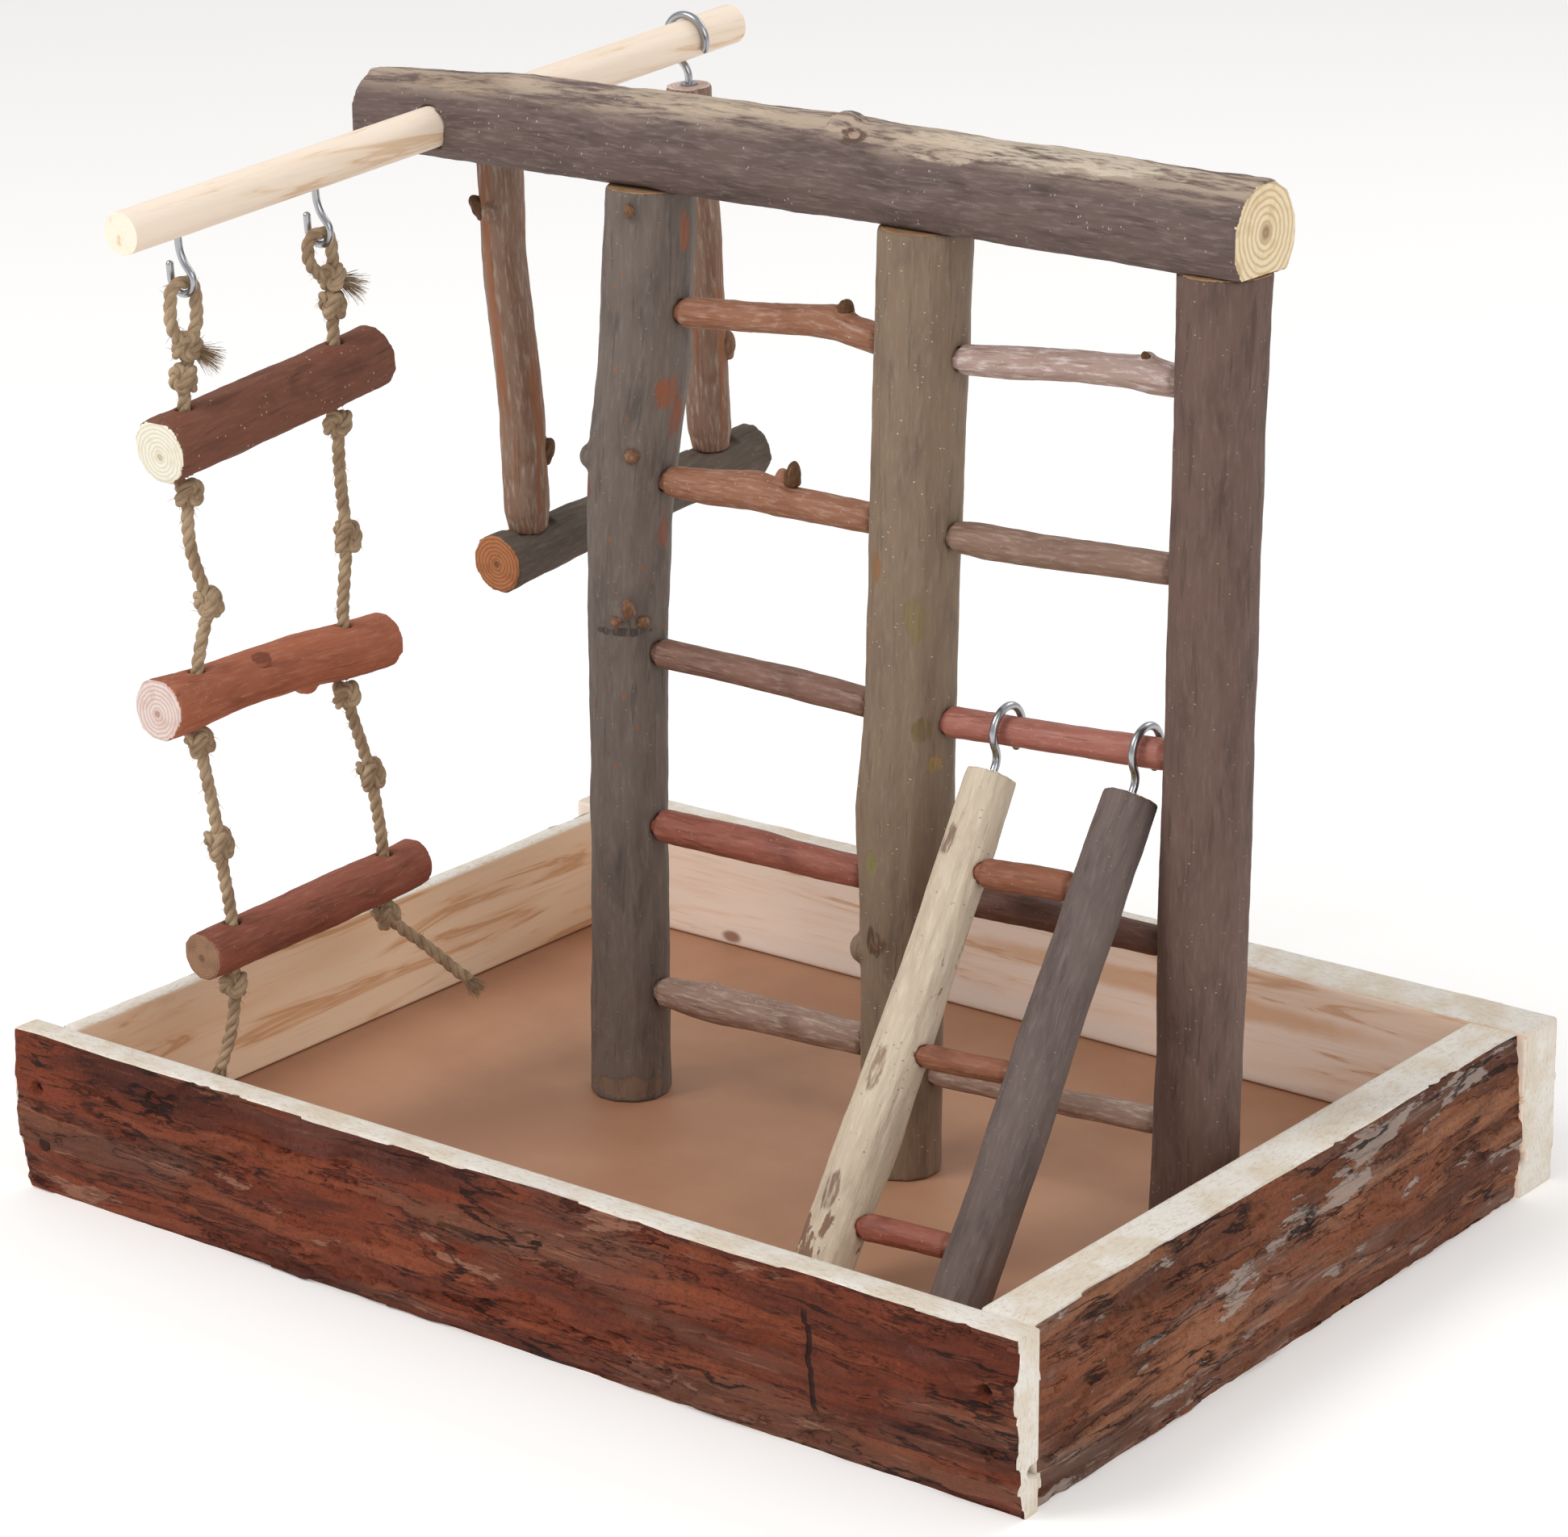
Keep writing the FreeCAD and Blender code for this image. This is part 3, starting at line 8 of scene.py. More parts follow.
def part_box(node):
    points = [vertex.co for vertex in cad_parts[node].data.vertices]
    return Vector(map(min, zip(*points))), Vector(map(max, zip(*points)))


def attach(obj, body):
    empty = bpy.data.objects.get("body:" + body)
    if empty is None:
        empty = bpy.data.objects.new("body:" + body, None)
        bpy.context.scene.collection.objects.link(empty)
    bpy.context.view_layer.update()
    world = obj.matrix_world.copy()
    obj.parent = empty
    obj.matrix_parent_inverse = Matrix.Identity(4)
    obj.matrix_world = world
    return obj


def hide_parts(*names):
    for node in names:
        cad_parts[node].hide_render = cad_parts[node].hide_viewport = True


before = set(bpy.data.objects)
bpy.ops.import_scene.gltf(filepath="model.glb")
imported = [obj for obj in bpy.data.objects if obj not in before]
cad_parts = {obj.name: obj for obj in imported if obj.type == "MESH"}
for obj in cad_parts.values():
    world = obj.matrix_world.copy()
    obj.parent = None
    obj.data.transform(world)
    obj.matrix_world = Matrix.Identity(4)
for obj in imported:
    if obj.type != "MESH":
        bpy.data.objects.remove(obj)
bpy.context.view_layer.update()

# ---------------------------------------------------------------- camera
# The photograph's viewing angle, worked out for a frame of 1943 x 1904.

AZIMUTH, ELEVATION, ROLL = math.radians(37.553), math.radians(18.330), math.radians(-0.349)
back = Vector((math.sin(AZIMUTH) * math.cos(ELEVATION),
               -math.cos(AZIMUTH) * math.cos(ELEVATION), math.sin(ELEVATION)))
right = Vector((math.cos(AZIMUTH), math.sin(AZIMUTH), 0))
up = back.cross(right)
rolled_right = right * math.cos(ROLL) + up * math.sin(ROLL)
rolled_up = up * math.cos(ROLL) - right * math.sin(ROLL)
bpy.ops.object.camera_add()
camera = bpy.context.object
camera.name = "photo_camera"
camera.data.sensor_width = 36.0
camera.data.lens = 110.30
camera.data.clip_start = 0.05
camera.data.clip_end = 20
spot = rolled_right * -0.000959 + rolled_up * 0.130524 + back * 1.508747
turn = Matrix((rolled_right, rolled_up, back)).transposed().to_4x4()
camera.matrix_world = Matrix.Translation(spot) @ turn
bpy.context.scene.camera = camera

# ---------------------------------------------------------------- shader tools


def tone(code):
    """A colour written as on screen, for the shaders."""
    parts = [int(code[i:i + 2], 16) / 255 for i in (1, 3, 5)]
    return [c / 12.92 if c <= 0.04045 else ((c + 0.055) / 1.055) ** 2.4 for c in parts] + [1.0]


class Value:
    """A socket that can be used in sums."""

    def __init__(self, shader, socket):
        self.shader = shader
        self.socket = socket

    def sum(self, kind, first, second):
        node = self.shader.add("Math", {"operation": kind}, {0: first, 1: second})
        return Value(self.shader, node.outputs[0])

    def __add__(self, other):
        return self.sum("ADD", self, other)

    def __radd__(self, other):
        return self.sum("ADD", other, self)

    def __sub__(self, other):
        return self.sum("SUBTRACT", self, other)

    def __rsub__(self, other):
        return self.sum("SUBTRACT", other, self)

    def __mul__(self, other):
        return self.sum("MULTIPLY", self, other)

    def __rmul__(self, other):
        return self.sum("MULTIPLY", other, self)


class Finish:
    """A material in the making."""

    def __init__(self, name):
        self.material = bpy.data.materials.new(name)
        self.material.use_nodes = True
        self.tree = self.material.node_tree
        self.tree.nodes.clear()
        self.shader = self.add("BsdfPrincipled", {}, {})
        output = self.add("OutputMaterial", {}, {})
        self.tree.links.new(self.shader.outputs[0], output.inputs[0])

    def add(self, kind, settings, values):
        """A node of a type, with its settings first and then the values of its sockets."""
        node = self.tree.nodes.new("ShaderNode" + kind)
        for key, setting in settings.items():
            if key == "stops":
                ramp = node.color_ramp
                while len(ramp.elements) < len(setting):
                    ramp.elements.new(0.5)
                for element, (place, shade) in zip(ramp.elements, setting):
                    element.position = place
                    element.color = shade
            else:
                setattr(node, key, setting)
        for key, value in values.items():
            socket = node.inputs[key]
            if isinstance(value, Value):
                self.tree.links.new(value.socket, socket)
            else:
                socket.default_value = value
        return node

    def value(self, node, output=0):
        return Value(self, node.outputs[output])

    def along_branch(self, stretch=(1, 1, 1)):
        """Places along the piece's own branch, Z along it."""
        place = self.value(self.add("Attribute", {"attribute_name": "branch"}, {}), "Vector")
        return self.value(self.add("Mapping", {}, {"Vector": place, "Scale": stretch}))

    def in_object(self, stretch=(1, 1, 1)):
        place = self.value(self.add("TexCoord", {}, {}), "Object")
        return self.value(self.add("Mapping", {}, {"Vector": place, "Scale": stretch}))

    def tip(self):
        """How far a place is from the nearer end of its branch, in metres."""
        return self.value(self.add("Attribute", {"attribute_name": "tip"}, {}), "Fac")

    def noise(self, place, scale, detail=4.0, rough=0.55, bend=0.0):
        return self.value(self.add("TexNoise", {}, {
            "Vector": place, "Scale": scale, "Detail": detail, "Roughness": rough,
            "Distortion": bend}), "Fac")

    def spots(self, place, scale, jitter=1.0):
        """Distance from the nearest of many scattered points."""
        return self.value(self.add("TexVoronoi", {"feature": "F1"}, {
            "Vector": place, "Scale": scale, "Randomness": jitter}), "Distance")

    def rings(self, place, scale, bend):
        return self.value(self.add("TexWave", {"wave_type": "RINGS", "rings_direction": "Z"}, {
            "Vector": place, "Scale": scale, "Distortion": bend, "Detail": 3.0,
            "Detail Scale": 1.5}), "Fac")

    def rise(self, value, low, high):
        """0 below low, 1 above high and smooth between, or the other way round."""
        return self.value(self.add("MapRange", {"interpolation_type": "SMOOTHSTEP"}, {
            "Value": value, "From Min": low, "From Max": high}))

    def away(self, place, size):
        """Distance from a place on the object as a share of a size, both in millimetres."""
        off = self.add("VectorMath", {"operation": "SUBTRACT"}, {
            0: self.in_object(), 1: [c / 1000 for c in place]})
        off = self.add("VectorMath", {"operation": "DIVIDE"}, {
            0: self.value(off), 1: [c / 1000 for c in size]})
        return self.value(self.add("VectorMath", {"operation": "LENGTH"}, {0: self.value(off)}),
                          "Value")

    def blot(self, place, size):
        """A ragged blot round a place on the object, in millimetres."""
        out = self.away(place, size)
        rough = self.noise(self.along_branch((1, 1, 0.3)), 300, 5, 0.65)
        return self.rise(out + rough * 1.5, 1.72, 1.48)

    def soft_blot(self, place, size):
        """A soft-edged blot round a place on the object, in millimetres."""
        rough = self.noise(self.in_object(), 90, 4)
        return self.rise(self.away(place, size) + rough * 0.5, 1.35, 0.75)

    def fibres(self, way):
        stretch = [1.0, 1.0, 1.0]
        stretch["XYZ".index(way)] = 0.3
        return self.noise(self.in_object(tuple(stretch)), 1300, 5, 0.7)

    def mix(self, amount, first, second):
        node = self.add("Mix", {"data_type": "RGBA"}, {})
        for socket, value in ((node.inputs[0], amount), (node.inputs[6], first),
                              (node.inputs[7], second)):
            if isinstance(value, Value):
                self.tree.links.new(value.socket, socket)
            else:
                socket.default_value = value
        return Value(self, node.outputs[2])

    def surface(self, colour, roughness, height=None, depth=0.0003, strength=1.0):
        """Join the colour, the roughness and a relief to the shader."""
        for name, value in (("Base Color", colour), ("Roughness", roughness)):
            if isinstance(value, Value):
                self.tree.links.new(value.socket, self.shader.inputs[name])
            else:
                self.shader.inputs[name].default_value = value
        if height is not None:
            bump = self.add("Bump", {}, {"Height": height, "Distance": depth,
                                         "Strength": strength})
            self.tree.links.new(bump.outputs[0], self.shader.inputs["Normal"])
        return self.material


# ---------------------------------------------------------------- finishes


def bark(name, dark, middle, light, streaks=0.5, flecks=None, fleck_share=0.0, patches=None,
         patch_share=0.0, glue=False, upper_wear_and_highlight=None, wetness=0.0, marks=(), specks=None,
         stripes=None):
    """Living bark: streaks along the branch, blotches, pale pores, worn patches, and cream wear on
    the upper side that is also a painted highlight.
    """
    f = Finish(name)
    long_way = f.along_branch((1, 1, 0.16))
    plain = f.along_branch()
    fine = f.noise(long_way, 900, 6, 0.62)
    broad = f.noise(f.along_branch((1, 1, 0.35)), 75, 5, 0.6, 0.6)
    colour = f.mix(f.rise(broad, 0.18, 0.56), tone(dark), tone(middle))
    colour = f.mix(f.rise(fine, 0.46, 0.74) * streaks, colour, tone(light))
    fissure = f.noise(f.along_branch((1, 1, 0.10)), 420, 3, 0.5, 0.5)
    line = f.rise(fissure, 0.40, 0.31)
    colour = f.mix(line * 0.42, colour, tone(dark))
    relief = fine * 0.5 + broad * 0.6 - line * 0.35
    if stripes:
        band = f.noise(f.along_branch((1, 1, 0.05)), 230, 3, 0.5)
        colour = f.mix(f.rise(band, 0.50, 0.58) * 0.8, colour, tone(stripes))
    if specks:
        dots = f.rise(f.spots(f.along_branch((1, 1, 0.55)), 260), 0.16, 0.09)
        dots = dots * f.rise(f.noise(plain, 90, 3), 0.46, 0.56)
        colour = f.mix(dots * 0.85, colour, tone(specks))
    if flecks:
        pores = f.rise(f.spots(f.along_branch((1, 1, 1.5)), 330), 0.17, 0.09)
        kept = f.rise(f.noise(plain, 110, 3), 0.46, 0.58)
        pores = pores * kept * fleck_share
        colour = f.mix(pores, colour, tone(flecks))
        relief = relief + pores * 0.6
    if patches:
        blotch = f.noise(f.along_branch((1, 1, 0.55)), 70, 5, 0.62, 0.4)
        edge = 0.70 - patch_share
        worn = f.rise(blotch, edge, edge + 0.035)
        colour = f.mix(worn * 0.9, colour, tone(patches))
        relief = relief - worn * 0.5
    # Cream on the upper side of the branch, chosen by which way the surface faces: worn bark and a
    # painted highlight.
    if upper_wear_and_highlight:
        shade, low, high = upper_wear_and_highlight
        side = f.value(f.add("SeparateXYZ", {}, {"Vector": plain}), "Y") * 1000
        torn = f.noise(f.along_branch((1, 1, 0.12)), 240, 6, 0.7)
        upper_wear_highlight_mask = f.rise(side, low, high) * f.rise(torn, 0.40, 0.58)
        colour = f.mix(upper_wear_highlight_mask * 0.9, colour, tone(shade))
        relief = relief - upper_wear_highlight_mask * 0.4
    # Marks of their own colour: stains, knots and wear; the beam's cream marks also hold a painted
    # highlight.
    for place, size, shade, share in marks:
        worn = f.blot(place, size)
        worn = worn * f.rise(fine + broad * 0.35, 0.50, 0.72)
        colour = f.mix(worn * share, colour, tone(shade))
        relief = relief - worn * 0.35
    if glue:
        near = f.rise(f.tip(), 0.0042, 0.0018)
        white = near * f.rise(f.noise(plain, 800, 3), 0.38, 0.60)
        colour = f.mix(white * 0.8, colour, tone("#d9d2cf"))
    f.shader.inputs["Specular IOR Level"].default_value = 0.35
    rough = 0.80 - fine * 0.16 - wetness
    return f.surface(colour, rough, relief, 0.0005, 0.9)


def cut_end(name, wood, ring, heart, rings=240, pith=1.8):
    """Sawn end grain: yearly rings, blotches, a dark pith and saw marks."""
    f = Finish(name)
    plain = f.along_branch()
    year = f.rings(plain, rings, 2.2)
    blotch = f.noise(plain, 190, 4)
    colour = f.mix(f.rise(year, 0.45, 0.95) * 0.70, tone(wood), tone(ring))
    colour = f.mix(f.rise(blotch, 0.48, 0.7) * 0.5, colour, tone(ring))
    parts = f.add("SeparateXYZ", {}, {"Vector": plain})
    flat = f.value(f.add("CombineXYZ", {}, {"X": f.value(parts, "X"), "Y": f.value(parts, "Y")}))
    out = f.value(f.add("VectorMath", {"operation": "LENGTH"}, {0: flat}), "Value")
    middle = f.rise(out + blotch * 0.002, pith / 1000 + 0.001, pith / 2500 + 0.001)
    colour = f.mix(middle * 0.65, colour, tone(heart))
    saw = f.noise(f.along_branch((1, 0.12, 1)), 1500, 3)
    colour = f.mix(f.rise(saw, 0.52, 0.70) * 0.25, colour, tone(ring))
    return f.surface(colour, 0.82, saw * 0.6 + year * 0.3, 0.0004, 0.8)


def pine(name, pale, streak, knot, way, shine=0.62, marks=()):
    """Sawn softwood with its grain along one way of the object."""
    f = Finish(name)
    stretch = [1.0, 1.0, 1.0]
    stretch["XYZ".index(way)] = 0.03
    grain = f.in_object(tuple(stretch))
    stretch["XYZ".index(way)] = 0.09
    wide = f.in_object(tuple(stretch))
    lines = f.noise(grain, 900, 5, 0.6)
    bands = f.noise(wide, 120, 4, 0.55, 0.8)
    blush = f.noise(wide, 36, 4, 0.55, 0.5)
    colour = f.mix(f.rise(bands, 0.50, 0.62) * 0.50, tone(pale), tone(streak))
    colour = f.mix(f.rise(blush, 0.50, 0.68) * 0.40, colour, tone(streak))
    colour = f.mix(f.rise(bands, 0.58, 0.63) * f.rise(bands, 0.68, 0.63) * 0.6, colour, tone(knot))
    colour = f.mix(f.rise(lines, 0.54, 0.74) * 0.30, colour, tone(knot))
    for place, size, shade, share in marks:
        colour = f.mix(f.soft_blot(place, size) * share, colour, tone(shade))
    return f.surface(colour, shine, lines * 0.5 + bands * 0.3, 0.00025, 0.6)


def log_bark(name, way, dark="#55271a", middle="#8a4027", light="#9c5436", purple="#70463e",
             scale="#ac7860", worn="#74503f", scale_share=0.0, cracks_at=()):
    """Old flaky red-brown bark: long layers, fissures between them, torn scales and painted shade
    along the layer edges.
    """
    f = Finish(name)
    place = f.in_object()
    drift = f.noise(place, 16, 3, 0.5) - 0.5
    parts = f.add("SeparateXYZ", {}, {"Vector": place})
    near = {axis: f.value(parts, axis) for axis in "XYZ"}
    slope = near["Z"] + drift * 0.009
    other = "Y" if way == "X" else "X"

    def sheet(long_scale, across_scale):
        return f.value(f.add("CombineXYZ", {}, {
            "X": near[way] * long_scale, "Y": slope * across_scale,
            "Z": near[other] * across_scale}))

    layers = f.noise(sheet(11, 95), 1.0, 7, 0.66, 0.25)
    grain = f.noise(sheet(45, 620), 1.0, 5, 0.70, 0.2)
    dust = f.noise(place, 700, 5, 0.75)
    wide = f.noise(sheet(9, 30), 1.0, 5, 0.62, 0.2)
    colour = f.mix(f.rise(wide, 0.36, 0.62), tone(dark), tone(middle))
    colour = f.mix(f.rise(layers, 0.50, 0.63) * 0.75, colour, tone(light))
    colour = f.mix(f.rise(layers, 0.47, 0.36) * 0.65, colour, tone(dark))
    bloom = f.rise(f.noise(sheet(14, 60) , 1.3, 4, 0.6), 0.56, 0.68)
    colour = f.mix(bloom * 0.35, colour, tone(purple))
    colour = f.mix(f.rise(grain, 0.54, 0.72) * 0.50, colour, tone(light))
    colour = f.mix(f.rise(grain, 0.47, 0.30) * 0.60, colour, tone(dark))
    colour = f.mix(f.rise(dust, 0.50, 0.34) * 0.45, colour, tone("#2c1510"))
    colour = f.mix(f.rise(dust, 0.60, 0.72) * 0.30, colour, tone(scale))
    dusty = f.rise(f.noise(sheet(6, 34), 1.0, 5, 0.6), 0.47, 0.57)
    colour = f.mix(dusty * 0.55, colour, tone(worn))
    colour = f.mix(dusty * f.rise(grain, 0.52, 0.66) * 0.45, colour, tone(scale))
    # Painted shade: thin dark lines along the edges of the bark layers.
    layer_edge_shade = f.value(f.add("Math", {"operation": "ABSOLUTE"}, {0: layers - 0.52}))
    layer_edge_shade = f.rise(layer_edge_shade, 0.009, 0.002) * f.rise(f.noise(place, 34, 2), 0.40, 0.52)
    colour = f.mix(layer_edge_shade * 0.65, colour, tone("#2e1610"))
    scales = f.rise(f.noise(sheet(20, 70), 1.0, 5, 0.65), 0.63 - scale_share, 0.66 - scale_share)
    colour = f.mix(scales * 0.7, colour, tone(scale))
    vein = f.noise(sheet(7, 44), 1.0, 6, 0.62, 0.1)
    split = f.rise(f.value(f.add("Math", {"operation": "ABSOLUTE"}, {0: vein - 0.5})),
                   0.014, 0.002) * f.rise(f.noise(place, 26, 2), 0.46, 0.56)
    for at, low, high, lean in cracks_at:
        line = near[way] + f.noise(sheet(0, 90), 1.0, 2) * 0.003 + near["Z"] * lean - at
        here = f.rise(f.value(f.add("Math", {"operation": "ABSOLUTE"}, {0: line})), 0.0011, 0.0004)
        here = here * f.rise(near["Z"], low, low + 0.003) * f.rise(near["Z"], high, high - 0.003)
        split = f.value(f.add("Math", {"operation": "MAXIMUM"}, {0: split, 1: here}))
    colour = f.mix(split * 0.85, colour, tone("#24120d"))
    relief = layers * 1.2 + grain * 0.40 + dust * 0.22 - split * 1.0 - layer_edge_shade * 0.5 + scales * 0.25
    f.shader.inputs["Specular IOR Level"].default_value = 0.25
    return f.surface(colour, 0.66 + grain * 0.3, relief, 0.0042, 1.0)


def pressed_board(name):
    f = Finish(name)
    plain = f.in_object()
    cloud = f.noise(plain, 16, 4, 0.6)
    fleck = f.noise(plain, 1300, 3, 0.7)
    colour = f.mix(f.rise(cloud, 0.35, 0.68), tone("#a5775a"), tone("#b08365"))
    colour = f.mix(f.rise(fleck, 0.55, 0.75) * 0.35, colour, tone("#8a6044"))
    return f.surface(colour, 0.55, fleck, 0.00006, 0.5)


def bright_steel(name, light="#b4b5b9", dark="#8b8d93", rough=0.16):
    f = Finish(name)
    f.shader.inputs["Metallic"].default_value = 1.0
    smear = f.noise(f.in_object(), 260, 3)
    colour = f.mix(smear * 0.5, tone(light), tone(dark))
    return f.surface(colour, rough + smear * 0.16, f.noise(f.in_object(), 900, 2), 0.00003, 0.3)


def plant_rope(name):
    """Hairy twisted fibre: the branch attribute has Z along a strand."""
    f = Finish(name)
    strand = f.along_branch((1, 1, 0.10))
    fibre = f.noise(strand, 2600, 5, 0.7)
    cloud = f.noise(f.in_object(), 150, 3)
    colour = f.mix(f.rise(cloud, 0.35, 0.68), tone("#957b60"), tone("#b59c7e"))
    colour = f.mix(f.rise(fibre, 0.52, 0.76) * 0.6, colour, tone("#cdb592"))
    colour = f.mix(f.rise(fibre, 0.44, 0.26) * 0.6, colour, tone("#5a4029"))
    return f.surface(colour, 0.9, fibre, 0.0004, 0.9)


BARKS = {
    "grey_post": bark("grey_post_bark", "#4c4440", "#6c6058", "#877a70", 0.42, "#ab9c8c", 0.4,
                      specks="#99562f", marks=(
                          ((-44.0, 0.5, 249.0), (4.4, 5, 6), "#8f5234", 0.85),
                          ((-44.4, 5.0, 239.0), (3.6, 4, 9), "#85492f", 0.85),
                          ((-50.2, 5.0, 203.0), (3, 3, 6), "#8a4a2c", 0.8),
                          ((-71.6, -5.7, 217.0), (3, 3, 6), "#7a4228", 0.8),
                          ((-40.4, 4.5, 298.0), (3, 3, 7), "#92522f", 0.8),
                          ((-55.0, -8.0, 172.0), (12, 12, 1.6), "#3a302c", 0.8),
                          ((-58.7, -6.0, 20.0), (14, 14, 4), "#8a6a50", 0.5))),
    "olive_post": bark("olive_post_bark", "#66564a", "#816d5a", "#988670", 0.42, "#cbbfa2", 0.8,
                       marks=(((53.8, -6.2, 195.2), (4, 4, 8), "#807046", 0.7),
                              ((55.0, -3.6, 161.1), (4, 4, 5), "#6b5a34", 0.8),
                              ((40.6, -8.3, 210.0), (3, 3, 6), "#8d6238", 0.8),
                              ((40.0, -9.6, 92.0), (5.5, 5, 5.5), "#4d3020", 0.85),
                              ((40.4, -9.6, 91.5), (2.4, 3, 2.4), "#8a5c3a", 0.9),
                              ((39.7, -9.8, 118.0), (2, 3, 4), "#7c7a3c", 0.7),
                              ((56.0, 0.0, 150.0), (3, 3, 3), "#9a7a45", 0.8))),
    "purple_post": bark("purple_post_bark", "#46362f", "#675047", "#7e6960", 0.42, "#a8937f", 0.75),
    # The beam's cream upper side and its four cream marks are worn bark with a painted highlight;
    # the last two marks are a knot.
    "beam": bark("beam_bark", "#40342f", "#65534e", "#8c7a74", 0.55, "#c4b6ae", 0.75,
                 upper_wear_and_highlight=("#bba793", 5.5, 13.5),
                 marks=(((96, 0, 338), (52, 9, 6), "#d3c4b0", 0.8),
                        ((60, -4, 336), (22, 7, 5), "#c9b6a0", 0.7),
                        ((-30, 0, 339), (40, 8, 3.5), "#c3b09a", 0.7),
                        ((-122, -2, 336), (24, 8, 4), "#a8927c", 0.7),
                        ((30.0, -5.0, 336.0), (4.5, 4, 4), "#5a4034", 0.9),
                        ((30.0, -4.6, 336.6), (2, 2, 2), "#b09682", 0.9))),
    "pale_rail": bark("pale_rail_bark", "#b4a08c", "#cdbda6", "#e6dac6", 0.5, "#8f7058", 0.5,
                      patches="#7a5844", patch_share=0.105,
                      marks=(((77.0, -22.0, 136.6), (3, 4, 9), "#6b4636", 0.8),
                             ((80.0, -60.0, 74.0), (3, 6, 12), "#7a5844", 0.75),
                             ((79.0, -82.0, 46.0), (3, 5, 9), "#6b4636", 0.8))),
    "dark_rail": bark("dark_rail_bark", "#4c403d", "#6a5b56", "#83746f", 0.4, "#9b8b82", 0.6),
    "perch": bark("perch_bark", "#42382f", "#5c4f44", "#756a5c", 0.45, "#8f8470", 0.5),
    "arm": bark("arm_bark", "#744930", "#846958", "#a9988a", 0.8, stripes="#8a5434"),
    "rung_rust": bark("rust_rung_bark", "#5e3626", "#8a563e", "#ad8066", 0.45, "#c4a084", 0.4,
                      glue=True, wetness=0.12),
    "rung_orange": bark("orange_rung_bark", "#7c4a30", "#92634a", "#c9aa98", 0.5, "#dcc4a8", 0.4,
                        glue=True, wetness=0.12),
    "rung_red": bark("red_rung_bark", "#603026", "#925444", "#b27866", 0.5, "#cda692", 0.5,
                     glue=True, wetness=0.2),
    # Right rung 3: the red rung bark painted lighter as a painted highlight, and made glossier.
    "rung_glossy_lit": bark("glossy_lit_red_rung_bark", "#7a4236", "#a06254", "#be8a7c", 0.5, "#d8b6a8", 0.4,
                       glue=True, wetness=0.36),
    "rung_dark": bark("dark_rung_bark", "#553b31", "#7f5c4e", "#a48b7e", 0.6, "#b59c8c", 0.4,
                      glue=True, wetness=0.15),
    "rung_shade": bark("shaded_rung_bark", "#3a241d", "#5c3b30", "#7d5a4b", 0.5, "#94786a", 0.4,
                       glue=True, wetness=0.15),
    "rung_brown": bark("brown_rung_bark", "#5d4536", "#86695a", "#b09a88", 0.65, "#bba995", 0.5,
                       glue=True, wetness=0.08),
    "rung_silver": bark("silver_rung_bark", "#6b5140", "#95796a", "#c2ae9e", 0.8, "#cbbba8", 0.5,
                        glue=True, wetness=0.08),
    "rung_pink": bark("pink_rung_bark", "#7d5a4c", "#a88e84", "#d8cac4", 0.95, "#dccfc6", 0.5,
                      glue=True, wetness=0.1),
    "rope_brown": bark("speckled_rope_rung_bark", "#4f2f23", "#784a39", "#8e604c", 0.4,
                       "#d2b48c", 1.0),
    "rope_orange": bark("orange_rope_rung_bark", "#7f4430", "#a66145", "#c08468", 0.5,
                        "#d0a488", 0.5,
                        marks=(((-125.4, -96.0, 173.7), (4, 4, 4), "#6b3522", 0.8),)),
    "rope_red": bark("red_rope_rung_bark", "#5f3226", "#8c4f3d", "#a86e58", 0.5, "#bb9080", 0.5),
    "bud": bark("bud_scales", "#2c1a10", "#5a3a22", "#8a643c", 0.6),
    "pale_bud": bark("pale_bud_scales", "#4e3527", "#78553e", "#ab8662", 0.6),
}
ENDS = {
    "yellow": cut_end("yellow_end", "#e0cba0", "#bd9f6a", "#7c5a34"),
    "pink": cut_end("pink_end", "#dccbc5", "#c29c8e", "#a06c58"),
    "brown": cut_end("brown_end", "#a98562", "#86603f", "#5a3a22"),
    "beam": cut_end("beam_end", "#e8d6b4", "#c4a272", "#7a5230", 150, 3.6),
    "white": cut_end("white_end", "#e9e5d6", "#d4c6a6", "#b39a6c"),
    "ringed": cut_end("ringed_end", "#9a7356", "#70503a", "#523424", 420),
    "rust": cut_end("rust_end", "#ad6f45", "#854a24", "#4e2c18"),
}
LONG_PINE = pine("long_pine", "#fbe9da", "#eac8a8", "#cc9a70", "X", marks=(
    ((-30, 126.5, 14), (160, 30, 13), "#efe6dc", 0.75),
    ((110, 126.5, 10), (70, 30, 12), "#efe6dc", 0.7),
    ((-121, 126.5, 18.5), (5, 8, 2.6), "#8e5a3c", 0.85),
    ((60, 126.5, 40), (90, 30, 5), "#d8a26a", 0.6)))
SIDE_PINE = pine("side_pine", "#f2d8ba", "#e2b284", "#c48f5e", "Y")
DOWEL_PINE = pine("dowel_pine", "#f8e6d2", "#edcfae", "#d8ae84", "Y", 0.5)


def rough_sawn(name, way):
    """A rough-sawn edge: pale, with raised torn fibres."""
    f = Finish(name)
    fibre = f.fibres(way)
    cloud = f.noise(f.in_object(), 60, 3)
    colour = f.mix(f.rise(cloud, 0.4, 0.65), tone("#f5eee4"), tone("#eadcc8"))
    colour = f.mix(f.rise(fibre, 0.50, 0.36) * 0.5, colour, tone("#cdb798"))
    colour = f.mix(f.rise(fibre, 0.60, 0.72) * 0.6, colour, tone("#faf5ea"))
    return f.surface(colour, 0.85, fibre, 0.0007, 1.0)


